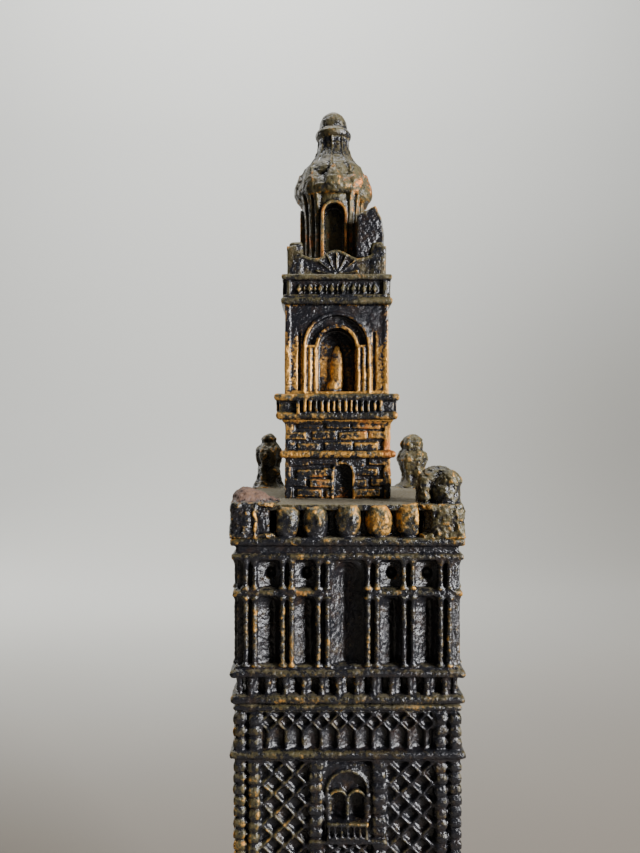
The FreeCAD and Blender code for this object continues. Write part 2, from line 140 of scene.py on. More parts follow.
class Net:
    """A node tree, with one method that adds any node."""

    def __init__(self, tree):
        self.tree = tree

    def add(self, kind, settings=None, values=None, out=None):
        node = self.tree.nodes.new(kind)
        for key, value in (settings or {}).items():
            setattr(node, key, value)
        for key, value in (values or {}).items():
            self.plug(self.find(node.inputs, key), value)
        return Wire(self, self.find(node.outputs, out))

    @staticmethod
    def find(sockets, key):
        """The socket with that index or name. No key means the first one in use."""
        if isinstance(key, int):
            return sockets[key]
        return next((s for s in sockets if s.enabled and key in (None, s.name)), None)

    def plug(self, socket, value):
        if isinstance(value, Wire):
            self.tree.links.new(value.socket, socket)
        elif socket.type == "VECTOR" and not isinstance(value, tuple):
            socket.default_value = (value, value, value)
        else:
            socket.default_value = value

    def mix(self, factor, first, second):
        """A colour between two colours."""
        return self.add("ShaderNodeMix", {"data_type": "RGBA"}, {"Factor": factor, "A": first, "B": second})

    def noise(self, place, scale, detail=3.0, seed=0.0, out=0):
        """Noise about one half. Out 0 is a number, and Color is three of them."""
        values = {"Vector": place, "W": seed, "Scale": scale, "Detail": detail}
        return self.add("ShaderNodeTexNoise", {"noise_dimensions": "4D"}, values, out)

    def split(self, vector, axis):
        return self.add("ShaderNodeSeparateXYZ", {}, {0: vector}, axis)

    def join(self, **axes):
        return self.add("ShaderNodeCombineXYZ", {}, axes)

    def scale(self, vector, factor):
        return self.add("ShaderNodeVectorMath", {"operation": "SCALE"}, {0: vector, "Scale": factor})


print("wires ready")

# %% [markdown]
# A geometry tree grows what repeats. It is built once with named inputs, and each modifier that uses it sets
# those inputs for its own row of balusters, bricks or ribs.

# %% Geometry trees: the shared parts
SOCKETS = {bool: "NodeSocketBool", int: "NodeSocketInt", float: "NodeSocketFloat"}


class Grower(Net):
    """A geometry tree with named inputs, closed by Realize Instances and Set Material."""

    def __init__(self, name, inputs):
        tree = bpy.data.node_groups.new(name, "GeometryNodeTree")
        tree.is_modifier = True
        super().__init__(tree)
        for key, way, kind in (("Geometry", "OUTPUT", "Geometry"), ("Motif", "INPUT", "Geometry"),
                               ("Material", "INPUT", "Material")):
            tree.interface.new_socket(key, in_out=way, socket_type="NodeSocket" + kind)
        for key, value in inputs.items():
            socket = tree.interface.new_socket(key, in_out="INPUT", socket_type=SOCKETS[type(value)])
            socket.default_value = value
        self.start = tree.nodes.new("NodeGroupInput")

    def given(self, name):
        return Wire(self, self.start.outputs[name])

    def close(self, geometry):
        real = self.add("GeometryNodeRealizeInstances", {}, {"Geometry": geometry})
        painted = self.add("GeometryNodeSetMaterial", {},
                           {"Geometry": real, "Material": self.given("Material")})
        end = self.tree.nodes.new("NodeGroupOutput")
        self.tree.links.new(painted.socket, end.inputs["Geometry"])
        return self.tree


BLANK = bpy.data.materials.new("casting_blank")


def grow(motif, tree, **inputs):
    """Puts a tree on a motif object and hands back the finished mesh object."""
    modifier = motif.modifiers.new(tree.name, "NODES")
    modifier.node_group = tree
    inputs.setdefault("Material", BLANK)
    for item in tree.interface.items_tree:
        if item.in_out == "INPUT" and item.name in inputs:
            modifier[item.identifier] = inputs[item.name]
    return freeze(motif)


def freeze(obj):
    """Turns what an object's modifiers make into its plain mesh."""
    graph = bpy.context.evaluated_depsgraph_get()
    mesh = bpy.data.meshes.new_from_object(obj.evaluated_get(graph))
    obj.modifiers.clear()
    old, obj.data = obj.data, mesh
    bpy.data.meshes.remove(old)
    return obj


print("growers ready")

# %% [markdown]
# Rows and rings cover nearly all the ornament. A row lays copies out in columns and courses, with half-bond
# stagger for bricks, and a ring turns copies about an upright axis. A little seeded jitter keeps them from
# looking machined, as the master of such a casting was cut by hand.

# %% Trees for rows and rings
def build_rows():
    net = Grower("rows", {"Columns": 3, "Courses": 1, "Pitch": 1.0, "Rise": 1.0, "Stagger": 0.0,
                          "Jitter": 0.0, "Tilt": 0.0, "Vary": 0.0, "Half": 1000.0, "Seed": 1})
    columns, courses, seed = net.given("Columns"), net.given("Courses"), net.given("Seed")
    index = net.add("GeometryNodeInputIndex")
    course = (index / columns + 0.001).floor()
    column = index - course * columns
    x = (column - (columns - 1.0) * 0.5 + net.given("Stagger") * (course % 2.0)) * net.given("Pitch")
    spot = net.join(X=x, Z=course * net.given("Rise"))
    points = net.add("GeometryNodePoints", {}, {"Count": columns * courses, "Position": spot})
    shake, turn, size = (
        net.scale(net.add("FunctionNodeRandomValue", {"data_type": "FLOAT_VECTOR"},
                          {0: -1.0, 1: 1.0, "Seed": draw}), net.given(amount))
        for draw, amount in ((seed, "Jitter"), (seed + 7.0, "Tilt"), (seed + 3.0, "Vary")))
    moved = net.add("GeometryNodeSetPosition", {}, {"Geometry": points, "Offset": shake})
    copies = net.add("GeometryNodeInstanceOnPoints", {}, {
        "Points": moved, "Instance": net.given("Motif"), "Rotation": turn, "Scale": size + (1.0, 1.0, 1.0)})
    real = net.add("GeometryNodeRealizeInstances", {}, {"Geometry": copies})
    place = net.add("GeometryNodeInputPosition")
    half = net.given("Half")
    clamped = net.join(X=net.split(place, "X").below(half).above(-half), Y=net.split(place, "Y"),
                       Z=net.split(place, "Z"))
    return net.close(net.add("GeometryNodeSetPosition", {}, {"Geometry": real, "Position": clamped}))


def build_ring():
    net = Grower("ring", {"Count": 8, "Phase": 0.0, "Step": 0.0})
    index = net.add("GeometryNodeInputIndex")
    points = net.add("GeometryNodePoints", {}, {"Count": net.given("Count"), "Position": 0.0})
    turn = net.join(Z=net.given("Phase") + index * net.given("Step"))
    return net.close(net.add("GeometryNodeInstanceOnPoints", {}, {
        "Points": points, "Instance": net.given("Motif"), "Rotation": turn, "Scale": 1.0}))


ROWS, RING = build_rows(), build_ring()
print("trees:", ROWS.name, RING.name)

# %% [markdown]
# The shaft's panels carry a net of crossing ribs. Each rib wavers from side to side as it climbs, and its
# neighbour wavers the other way, so that the pair closes a lozenge at every touch. The tree draws one wavy
# curve for each rib, bends it with a wave that is nearly a zigzag, and sweeps a ridge-shaped section along it.

# %% Tree for the lattice ribs
def build_lattice():
    net = Grower("lattice", {"Ribs": 4, "Pitch": 3.3, "Height": 10.0, "Wave": 6.2, "Phase": 0.0,
                             "Width": 0.5, "Depth": 0.9})
    pitch, height = net.given("Pitch"), net.given("Height")
    line = net.add("GeometryNodeCurvePrimitiveLine", {}, {"Start": 0.0, "End": net.join(Z=height)})
    line = net.add("GeometryNodeResampleCurve", {}, {"Curve": line, "Count": 160})
    index = net.add("GeometryNodeInputIndex")
    x = (index - (net.given("Ribs") - 1.0) * 0.5) * pitch
    points = net.add("GeometryNodePoints", {}, {"Count": net.given("Ribs"), "Position": net.join(X=x)})
    width = net.given("Width")
    section = net.add("GeometryNodeCurvePrimitiveCircle", {}, {"Resolution": 8, "Radius": width})
    deepen = net.join(X=1.0, Y=net.given("Depth") / width, Z=1.0)
    joined = net.tree.nodes.new("GeometryNodeJoinGeometry")
    for side in (-1.0, 1.0):
        z = net.split(net.add("GeometryNodeInputPosition"), "Z")
        swing = ((z / net.given("Wave") + net.given("Phase")) * (2 * math.pi)).sine()
        zigzag = net.add("ShaderNodeMath", {"operation": "ARCSINE"}, {0: swing * 0.985})
        offset = net.join(X=zigzag * pitch * (side / math.pi))
        rib = net.add("GeometryNodeSetPosition", {}, {"Geometry": line, "Offset": offset})
        tube = net.add("GeometryNodeCurveToMesh", {},
                       {"Curve": rib, "Profile Curve": section, "Fill Caps": True})
        ribs = net.add("GeometryNodeInstanceOnPoints", {}, {"Points": points, "Instance": tube})
        net.tree.links.new(ribs.socket, joined.inputs[0])
    ribs = Wire(net, joined.outputs[0])
    real = net.add("GeometryNodeRealizeInstances", {}, {"Geometry": ribs})
    return net.close(net.add("GeometryNodeTransform", {}, {"Geometry": real, "Scale": deepen}))


LATTICE = build_lattice()
print("tree:", LATTICE.name)

# %% [markdown]
# The skin is what makes it a casting and not a drawing. One tree wobbles the surface, as hand-cut masters
# and worn moulds do, and then measures it: how far each spot stands above the surface around it, over a broad
# patch and over a narrow one, and how much it faces up. The finish reads those three numbers later, because
# polish and dust on the real object follow exactly that. Crumbs that came loose in the melt are dropped first.

# %% Tree for the cast skin
CRUMB_POINTS = 500.0


def build_skin():
    net = Grower("cast_skin", {"Wobble": 0.1, "Grain": 0.02, "Seed": 0.0, "Broad": 24, "Narrow": 4})
    seed = net.given("Seed")
    island = net.add("GeometryNodeInputMeshIsland", out="Island Index")
    points = net.add("GeometryNodeAccumulateField", {"data_type": "FLOAT"}, {"Value": 1.0, "Group ID": island},
                     out="Total")
    crumb = net.add("ShaderNodeMath", {"operation": "LESS_THAN"}, {0: points, 1: CRUMB_POINTS})
    whole = net.add("GeometryNodeDeleteGeometry", {}, {"Geometry": net.given("Motif"), "Selection": crumb})
    place = net.add("GeometryNodeInputPosition")
    drift = net.noise(place, 0.32, 2.0, seed, "Color") - (0.5, 0.5, 0.5)
    grain = net.noise(place, 1.7, 3.0, seed + 5.0, "Color") - (0.5, 0.5, 0.5)
    offset = net.scale(drift, net.given("Wobble")) + net.scale(grain, net.given("Grain"))
    moved = net.add("GeometryNodeSetPosition", {}, {"Geometry": whole, "Offset": offset})
    normal = net.add("GeometryNodeInputNormal")
    measures = {}
    for name, size in (("relief", "Broad"), ("edge", "Narrow")):
        around = net.add("GeometryNodeBlurAttribute", {"data_type": "FLOAT_VECTOR"},
                         {"Value": place, "Iterations": net.given(size)})
        measures[name] = net.add("GeometryNodeBlurAttribute", {"data_type": "FLOAT"},
                                 {"Value": (place - around).dot(normal), "Iterations": 1})
    measures["up"] = net.split(normal, "Z")
    for name, value in measures.items():
        moved = net.add("GeometryNodeStoreNamedAttribute", {"data_type": "FLOAT", "domain": "POINT"},
                        {"Geometry": moved, "Name": name, "Value": value})
    return net.close(moved)


SKIN = build_skin()
print("tree:", SKIN.name)


# %% [markdown]
# A Mould gathers closed shapes. They may overlap freely, because melting them into one skin comes later. The
# shape used most is the bar: an outline drawn across a wall and run along it. Its ends may be cut at 45
# degrees, like a picture frame's, which is how the four walls of a tier meet at the corners.

# %% The mould
class Mould:
    """Closed shapes in millimetres that will be cast as one piece."""

    def __init__(self):
        self.verts, self.faces = [], []

    def add(self, verts, faces):
        start = len(self.verts)
        self.verts += [tuple(v) for v in verts]
        self.faces += [tuple(start + i for i in face) for face in faces]

    def loft(self, rings):
        """A closed skin through rings of equally many points, capped at both ends."""
        count = len(rings[0])
        faces = [tuple(reversed(range(count))), tuple((len(rings) - 1) * count + i for i in range(count))]
        for k in range(len(rings) - 1):
            faces += self.wall_between(k, k + 1, count)
        self.add([p for ring in rings for p in ring], faces)

    @staticmethod
    def wall_between(first, second, count):
        """The faces that join two rings of count points each."""
        low, high = first * count, second * count
        return [(low + i, low + (i + 1) % count, high + (i + 1) % count, high + i) for i in range(count)]

    def box(self, x0, x1, y0, y1, z0, z1):
        corners = [(x0, y0), (x1, y0), (x1, y1), (x0, y1)]
        self.loft([[(x, y, z) for x, y in corners] for z in (z0, z1)])

    def block(self, half, z0, z1, cx=0.0):
        """A square block round an axis."""
        self.box(cx - half, cx + half, -half, half, z0, z1)

    def bar(self, outline, left=None, right=None):
        """An outline of (depth, height) run along X. An end that isn't given is mitred at the corner."""
        rings = [[(-d if left is None else left, -d, z) for d, z in outline],
                 [(d if right is None else right, -d, z) for d, z in outline]]
        self.loft(rings)

    def band(self, outline, cx=0.0):
        """An outline of (depth, height) run right round a square tier."""
        rings = [[(cx + sx * d, sy * d, z) for d, z in outline]
                 for sx, sy in ((-1, -1), (1, -1), (1, 1), (-1, 1))]
        faces = []
        for k in range(4):
            faces += self.wall_between(k, (k + 1) % 4, len(outline))
        self.add([p for ring in rings for p in ring], faces)

    def post(self, x, y, z0, z1, radius, sides=12):
        """An upright round bar."""
        self.turned([(radius, z0), (radius, z1)], x, y, sides)

    def turned(self, profile, x=0.0, y=0.0, sides=16, lobes=0, depth=0.0):
        """A body of revolution through (radius, height) points. Lobes flute it."""
        rings = []
        for radius, z in profile:
            ring = []
            for k in range(sides):
                angle = 2 * math.pi * k / sides
                r = radius * (1 + depth * math.cos(lobes * angle))
                ring.append((x + r * math.cos(angle), y + r * math.sin(angle), z))
            rings.append(ring)
        self.loft(rings)

    def arch(self, x, radius, spring, face, depth, width, foot=None, steps=20):
        """A round arch of square section on the front face, with legs down to foot if given."""
        points = [(x + radius * math.cos(a), spring + radius * math.sin(a), math.cos(a), math.sin(a))
                  for a in (math.pi * k / steps for k in range(steps + 1))]
        if foot is not None:
            points = [(x + radius, foot, 1.0, 0.0)] + points + [(x - radius, foot, -1.0, 0.0)]
        section = ((-width / 2, 0.0), (-width / 2, depth), (width / 2, depth), (width / 2, 0.0))
        self.loft([[(px + nx * out, -face + deep, pz + nz * out) for out, deep in section]
                   for px, pz, nx, nz in points])

    def egg(self, x, y, z, rx, ry, rz, rings=8, sides=14):
        """An ellipsoid."""
        climb = [math.pi * k / rings for k in range(rings + 1)]
        turns = [2 * math.pi * k / sides for k in range(sides)]
        profile = [(max(0.02, math.sin(a)), -math.cos(a)) for a in climb]
        self.loft([[(x + rx * r * math.cos(t), y + ry * r * math.sin(t), z + rz * h) for t in turns]
                   for r, h in profile])

    def take(self, obj, offset=(0, 0, 0), stand=False):
        """Moves a grown mesh into the mould. Stand tips a flat ring up to face the front."""
        place = Matrix.Translation(Vector(offset))
        if stand:
            place = place @ Matrix.Rotation(math.pi / 2, 4, "X")
        self.add([place @ v.co for v in obj.data.vertices], [tuple(p.vertices) for p in obj.data.polygons])
        bpy.data.objects.remove(obj)

    def all_round(self, cx=0.0):
        """Repeats everything so far on the tier's other three sides."""
        verts, faces = list(self.verts), list(self.faces)
        for quarter in (1, 2, 3):
            spin = Matrix.Rotation(quarter * math.pi / 2, 4, "Z")
            move = Matrix.Translation((cx, 0, 0))
            spin = move @ spin @ move.inverted()
            self.add([spin @ Vector(v) for v in verts], faces)

    def object(self, name):
        mesh = bpy.data.meshes.new(name)
        mesh.from_pydata(self.verts, [], self.faces)
        return link(bpy.data.objects.new(name, mesh))


print("mould ready")

# %% [markdown]
# Niches, windows and doors are cut out of a wall before its trims go on. The exact boolean keeps their arrises
# clean and copes with cutters that overlap. A few outlines come up everywhere: a square with soft corners for
# posts and lumps, a half-round roll for mouldings, and a plain band.

# %% Carving, and the common outlines
def carve(body, cutters):
    """Cuts the cutters' shapes out of a body and hands back a mould with what is left."""
    target, tool = body.object("carve_body"), cutters.object("carve_tool")
    cut = target.modifiers.new("carve", "BOOLEAN")
    cut.operation, cut.solver, cut.use_self, cut.object = "DIFFERENCE", "EXACT", True, tool
    freeze(target)
    rest = Mould()
    rest.take(target)
    bpy.data.objects.remove(tool)
    return rest


def rounded(half, z, cx, cy, power=5, sides=24):
    """A ring of points round a square with soft corners."""
    ring = []
    for k in range(sides):
        a = 2 * math.pi * k / sides
        c, s = math.cos(a), math.sin(a)
        r = half / (abs(c) ** power + abs(s) ** power) ** (1 / power)
        ring.append((cx + r * c, cy + r * s, z))
    return ring


def roll(face, z0, z1, back, steps=7):
    """The (depth, height) outline of a half-round moulding that stands out to face."""
    middle, half = (z0 + z1) / 2, (z1 - z0) / 2
    points = [(back, z0), (back, z1)]
    for k in range(steps + 1):
        a = math.pi / 2 - math.pi * k / steps
        points.append((face - half * 0.75 + half * 0.75 * math.cos(a), middle + half * math.sin(a)))
    return points


def flat(face, z0, z1, back):
    """The (depth, height) outline of a plain band."""
    return [(back, z0), (back, z1), (face, z1), (face, z0)]


print("a roll has", len(roll(1, 0, 1, 0)), "points")

# %% [markdown]
# Casting a piece: the gathered shapes go through a voxel remesh, which melts everything that overlaps into
# one closed skin, then a smoothing pass takes the arrises off, the skin tree roughens and measures it, and a
# decimate pass spends the triangles where the relief is. Both patches of the relief measure are set in steps
# from point to point, so their number follows the voxel size.

# %% Casting
COARSE = 1.0
BROAD, NARROW, MEASURED_AT = 26, 4, 0.16        # steps of the two relief measures, at this voxel size


def cast(name, mould, voxel, triangles, wobble, grain, seed, soften=2):
    """Melts a mould into one closed, softened, measured mesh, still in millimetres."""
    obj = mould.object(name)
    melt = obj.modifiers.new("melt", "REMESH")
    melt.mode, melt.voxel_size = "VOXEL", voxel * COARSE
    smooth = obj.modifiers.new("soften", "SMOOTH")
    smooth.factor, smooth.iterations = 0.5, soften
    reach = MEASURED_AT / (voxel * COARSE)
    grow(obj, SKIN, Wobble=wobble, Grain=grain, Seed=seed, Broad=max(6, round(BROAD * reach ** 2)),
         Narrow=max(1, round(NARROW * reach ** 2)))
    count = 2 * len(obj.data.polygons)
    if count > triangles:
        thin = obj.modifiers.new("thin", "DECIMATE")
        thin.ratio = triangles / count
        freeze(obj)
    print(f"{name}: {len(mould.faces)} faces in the mould, {count} melted, {len(obj.data.polygons)} kept")
    return obj


def finish(obj, node, material, quarter=0):
    """Brings a casting to metres, turns it to its side of the tower, ties it to the root body and hides its
    node.
    """
    turn = Matrix.Rotation(quarter * math.pi / 2, 4, "Z")
    obj.data.transform(turn @ Matrix.Scale(MM, 4))
    obj.data.materials.clear()
    obj.data.materials.append(material)
    obj.data.polygons.foreach_set("use_smooth", [True] * len(obj.data.polygons))
    obj.data.update()
    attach(obj, "root")
    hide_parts(node)


def copy_of(obj, name):
    return link(bpy.data.objects.new(name, obj.data.copy()))


print("foundry ready")

# %% [markdown]
# The finish is one recipe with different strengths. Black lacquer fills every hollow and stays glossy.
# Where the relief stands proud the lacquer thins to an olive tarnish, and on the highest spots it is rubbed
# through to brass, or to the coppery layer under it. Noise at three sizes breaks all the borders up, as
# handling does. The recipe takes the skin's measures, so the rub always lies on real edges. A shift from
# left to right also moves the rub: on the shaft, cornice and arched stage it is painted light and shade,
# lighter on the left side and darker on the right.

# %% Finishes
BLACK = (0.008, 0.008, 0.010, 1)
UMBER = (0.040, 0.020, 0.009, 1)
OLIVE = (0.090, 0.073, 0.024, 1)
BRASS = (0.440, 0.225, 0.048, 1)
COPPER = (0.420, 0.145, 0.036, 1)
DUST = (0.115, 0.100, 0.078, 1)
SCAR = (0.125, 0.068, 0.037, 1)
SCAR_DARK = (0.060, 0.030, 0.022, 1)


def start_material(name):
    material = bpy.data.materials.new(name)
    material.use_nodes = True
    net = Net(material.node_tree)
    shader = material.node_tree.nodes["Principled BSDF"]
    place = net.add("ShaderNodeTexCoord", {}, {}, out="Object")
    place = net.add("ShaderNodeVectorMath", {"operation": "SCALE"}, {0: place, "Scale": 1 / MM})
    return material, net, shader, place


def measure(net, name, size):
    """One of the skin's measures, in units of size."""
    return net.add("ShaderNodeAttribute", {"attribute_name": name}, {}, out="Fac") / size


def antique(name, rub=0.0, olive=0.0, copper=0.0, dust=0.0, scar_above=None, fade=None, side_wear_and_shade=0.0, seed=0.0):
    """Black lacquer over brass. Rub, olive and copper raise or lower how much of each shows."""
    material, net, shader, place = start_material(name)
    height = net.add("ShaderNodeSeparateXYZ", {}, {0: place}, out="Z")
    broad = net.noise(place, 0.13, 3.0, seed) - 0.5
    patch = net.noise(place, 0.50, 4.0, seed + 2.0) - 0.5
    fine = net.noise(place, 1.90, 5.0, seed + 4.0) - 0.5
    speck = net.noise(place, 5.50, 3.0, seed + 6.0) - 0.5
    relief, edge, up = measure(net, "relief", 0.30), measure(net, "edge", 0.05), measure(net, "up", 1.0)

    high = relief * 0.50 + edge * 0.22 + patch * 1.5 + fine * 1.5 + speck * 0.5 + broad * 1.2
    if fade:
        low_z, high_z, amount = fade
        high = high - (height + patch * 3.0).step(low_z, high_z) * amount
    # Painted light and shade by side: the rub changes with world X, so the shaft, cornice and arched stage are
    # painted lighter on the left and darker on the right. The brick stage gets more real rub on its right.
    if side_wear_and_shade:
        high = high + net.add("ShaderNodeSeparateXYZ", {}, {0: place}, out="X") * side_wear_and_shade
    tarnish = (high + olive + up * 0.30).step(0.10, 0.75)
    bare = (high + rub).step(0.45, 0.85)
    warm = (broad * 2.0 + patch * 1.6 + copper).step(0.35, 0.8)
    brown = (patch * 1.5 + fine + 0.1).step(0.0, 0.6)

    colour = net.mix(brown * 0.45, BLACK, UMBER)
    colour = net.mix(tarnish * 0.75, colour, net.mix(brown * 0.5, OLIVE, UMBER))
    metal = net.mix(warm, BRASS, COPPER)
    clean = (fine * 2.2 + speck * 1.5 + 0.75).below(1.0).above(0.0)
    metal = net.mix(clean, net.mix(0.6, metal, UMBER), metal)
    colour = net.mix(bare, colour, metal)
    roughness = 0.21 + tarnish * 0.26 + bare * 0.05 + fine * 0.18
    metallic = tarnish * 0.25 + bare * 0.55
    if dust:
        settled = (up * 1.4 + patch * 1.2 + fine * 0.9 - 1.25 + dust).step(0.0, 0.6)
        colour = net.mix(settled, colour, net.mix((fine * 2.0 + 0.5).above(0.0).below(1.0), DUST, OLIVE))
        roughness = roughness + settled * 0.5
        metallic = metallic * (1.0 - settled)
    if scar_above is not None:
        broken = (height - scar_above + fine * 1.6 + patch * 2.2).step(-0.2, 0.35)
        crumbs = (fine * 2.0 + speck * 1.5 + 0.5).above(0.0).below(1.0)
        colour = net.mix(broken, colour, net.mix(crumbs, SCAR_DARK, SCAR))
        roughness = roughness + broken * 0.5
        metallic = metallic * (1.0 - broken)
    crinkle = net.noise(place, 1.7, 3.0, seed + 8.0) * 1.0 + net.noise(place, 4.5, 4.0, seed + 9.0) * 0.35
    bump = net.add("ShaderNodeBump", {}, {"Strength": 0.8, "Distance": 0.00028, "Height": crinkle})
    for key, value in (("Base Color", colour), ("Roughness", roughness.below(0.95).above(0.14)),
                       ("Metallic", metallic.below(1.0)), ("Normal", bump)):
        net.plug(shader.inputs[key], value)
    return material


# The negative side setting on the shaft, cornice and arched stage paints shade on their right sides and lighter
# rub on their left sides.
WALL_FINISH = antique("antique_shaft", rub=-0.28, olive=-0.17, side_wear_and_shade=-0.015, seed=1.0)
BELFRY_FINISH = antique("antique_belfry", rub=-0.07, olive=-0.08, dust=0.15, fade=(127.0, 129.0, -0.38),
                        seed=3.0)
CORNICE_FINISH = antique("antique_cornice", rub=0.05, side_wear_and_shade=-0.02, seed=19.0)
JAR_FINISH = antique("antique_jar", rub=-0.30, olive=-0.25, seed=21.0)
BRICK_FINISH = antique("rubbed_brick", rub=0.18, copper=0.25, fade=(138.5, 141.0, -0.22), side_wear_and_shade=0.012,
                       seed=5.0)
ARCH_FINISH = antique("rubbed_arch", rub=0.62, fade=(157.0, 162.5, 0.70), side_wear_and_shade=-0.006, seed=7.0)
DARK_FINISH = antique("antique_frieze", rub=-0.25, olive=0.10, seed=9.0)
DOME_FINISH = antique("rubbed_dome", rub=0.24, olive=0.62, copper=0.50, fade=(187.5, 191.0, 0.30), seed=11.0)
TOP_FINISH = antique("antique_top", rub=0.05, olive=0.40, seed=13.0)
DECK_FINISH = antique("dusty_deck", rub=-0.5, olive=0.1, dust=0.75, seed=15.0)
SCAR_FINISH = antique("scarred_corner", rub=0.0, olive=-0.1, scar_above=133.1, seed=17.0)
print("finishes:", len(bpy.data.materials))

# %% [markdown]
# ## The shaft
#
# Each wall of the shaft is one flat casting. Round every window it has a moulded arch over a pair of little
# arches with a column between them, and a balcony. Ribbed columns stand beside the windows, then comes a
# sunk panel with the lattice, and rope-like quoins at the corner.

# %% Sizes of the shaft's relief
BACK = FACE - 2.2                   # inner face of a wall
PANEL = FACE - 0.95                 # floor of the sunk panels
QUOIN_X, COLUMN_X, STRIP_X = FACE - 3.8, 6.0, 3.6
STRING = SHAFT_HIGH.z - 6.5         # middle of the string course under the arcade
TIERS = [(36.2, 60.6), (62.0, STRING - 1.0)]
SILLS = [STRING - 10.2, STRING - 24.6, 51.0, 39.6, 24.0]
FOOT = SHAFT_LOW.z


def bead(mould, x0, x1, front, half, left_open=False, right_open=False):
    """A cushion-shaped rib that runs along X. Its ends are rounded unless they turn a corner."""
    def ring(x, d_cut, z_cut, mitre=0):
        points = []
        for d, z in ((-1.6, -1.0), (-1.6, 1.0), (-0.45, 1.0), (-0.12, 0.72), (0.0, 0.25), (0.0, -0.25),
                     (-0.12, -0.72), (-0.45, -1.0)):
            depth = front + d - (d_cut if d > -1.5 else 0.0)
            points.append((mitre * depth if mitre else x, -depth, z * half * z_cut))
        return points
    start = [ring(x0, 0, 1, -1)] if left_open else [ring(x0, 0.45, 0.6), ring(x0 + 0.3, 0, 1)]
    end = [ring(x1, 0, 1, 1)] if right_open else [ring(x1 - 0.3, 0, 1), ring(x1, 0.45, 0.6)]
    mould.loft(start + end)


def bead_column(wall, name, x0, x1, front, z0, z1, seed, pitch=1.72, **ends):
    """Beads one above another, a little uneven, as if each had been filed by hand."""
    middle = 0.0 if ends else (x0 + x1) / 2
    motif = Mould()
    count = round((z1 - z0) / pitch)
    rise = (z1 - z0) / count
    bead(motif, x0 - middle, x1 - middle, 0.0 if not ends else front, rise * 0.47, **ends)
    steady = 0.02 if ends else 0.09
    grown = grow(motif.object(name), ROWS, Columns=1, Courses=count, Rise=rise, Jitter=steady,
                 Tilt=0.0 if ends else 0.07, Vary=0.0 if ends else 0.05, Seed=seed)
    wall.take(grown, (middle, 0.0 if ends else -front, z0 + rise / 2))


print("tiers:", TIERS, "sills:", SILLS)

# %% A window with its arches and balcony
def window(wall, cuts, sill, balcony=True):
    """Adds one window's trims to the wall and its openings to the cuts."""
    spring, little = sill + 4.4, sill + 3.0
    wall.box(-STRIP_X, STRIP_X, -(FACE - 0.55), -BACK, sill - 3.2, sill + 8.3)
    cuts.add(*arch_shape(0, 2.9, sill - 0.02, spring, FACE - 1.25))
    for x in (-1.42, 1.42):
        cuts.add(*arch_shape(x, 1.12, sill + 0.02, little, BACK + 0.35))
    trims = Mould()
    trims.arch(0, 3.1, spring, FACE - 0.15, 1.1, 0.42, foot=sill)
    for x in (-1.42, 1.42):
        trims.arch(x, 1.30, little, FACE - 0.35, 1.1, 0.42)
    trims.post(0, -(FACE - 0.55), sill, little + 0.3, 0.36)
    for x in (-2.75, 2.75):
        trims.post(x, -(FACE - 0.55), sill, little + 0.2, 0.32)
    if balcony:
        trims.box(-3.0, 3.0, -FACE, -BACK, sill - 2.4, sill)
        trims.box(-3.15, 3.15, -(FACE + 0.75), -BACK, sill - 0.42, sill + 0.05)
        trims.box(-3.15, 3.15, -(FACE + 0.75), -BACK, sill - 2.5, sill - 2.1)
        bars = Mould()
        bars.post(0, 0, -1.0, 1.0, 0.23, sides=8)
        trims.take(grow(bars.object("balcony_bar"), ROWS, Columns=7, Pitch=0.95, Jitter=0.04, Seed=9),
                   (0, -(FACE + 0.45), sill - 1.25))
        trims.bar(roll(FACE + 0.55, sill - 3.3, sill - 2.7, BACK), -5.9, 5.9)
    return trims


def arch_shape(x, half, foot, spring, depth, front=FACE + 2.0, steps=16):
    """Vertices and faces of an arched opening that reaches in as far as depth."""
    outline = [(x - half, foot), (x + half, foot)]
    outline += [(x + half * math.cos(math.pi * k / steps), spring + half * math.sin(math.pi * k / steps))
                for k in range(steps + 1)]
    shape = Mould()
    shape.loft([[(px, -y, pz) for px, pz in outline] for y in (depth, front)])
    return shape.verts, shape.faces


print("window parts ready")

# %% [markdown]
# One wall is drawn and cast once, then copied to the other sides. All four of the real model came out of one
# mould too, so copies are truer than four castings, and quicker.

# %% One shaft wall
def lattice(wall, name, place, **inputs):
    """Lays a net of ribs on the wall. The tree draws them all, so its motif is only a stub."""
    stub = Mould()
    stub.box(0, 0.01, 0, 0.01, 0, 0.01)
    wall.take(grow(stub.object(name), LATTICE, **inputs), place)


def shaft_wall():
    body, cuts = Mould(), Mould()
    body.bar(flat(PANEL, FOOT, SHAFT_HIGH.z, BACK))
    trims = [window(body, cuts, sill) for sill in SILLS]
    trims.append(window(body, cuts, FOOT + 2.6, balcony=False))
    wall = carve(body, cuts)
    for trim in trims:
        wall.add(trim.verts, trim.faces)

    courses = [(FOOT, FOOT + 2.0, MOULDING), (35.0, 36.2, MOULDING - 0.2), (60.6, 61.8, MOULDING - 0.2),
               (STRING - 0.6, STRING + 0.6, MOULDING)]
    for z0, z1, front in courses:
        wall.bar(roll(front, z0, z1, BACK))
        wall.bar(flat(FACE + 0.15, z0 - 0.55, z0, BACK))
    wall.bar(flat(FACE - 0.3, SHAFT_HIGH.z - 0.4, SHAFT_HIGH.z, BACK))

    for low, high in ((SILLS[1], SILLS[0]), (SILLS[2], SILLS[1]), (SILLS[4], SILLS[3])):
        lattice(wall, "small_lattice", (0, -(PANEL + 0.1), low + 8.3), Ribs=3, Pitch=2.1,
                Height=high - low - 11.7, Wave=3.2, Width=0.30, Depth=0.75)

    for side in (-1, 1):
        for z0, z1 in TIERS:
            lattice(wall, "lattice", (side * (QUOIN_X + COLUMN_X) / 2, -(PANEL + 0.05), z0), Ribs=3,
                    Pitch=3.3, Height=z1 - z0, Wave=6.3, Width=0.36, Depth=0.85)
            left, right = sorted((side * (STRIP_X + 0.05), side * (COLUMN_X - 0.05)))
            bead_column(wall, "ribbed_column", left, right, FACE + 0.35, z0, z1, seed=3 + side)
    return wall


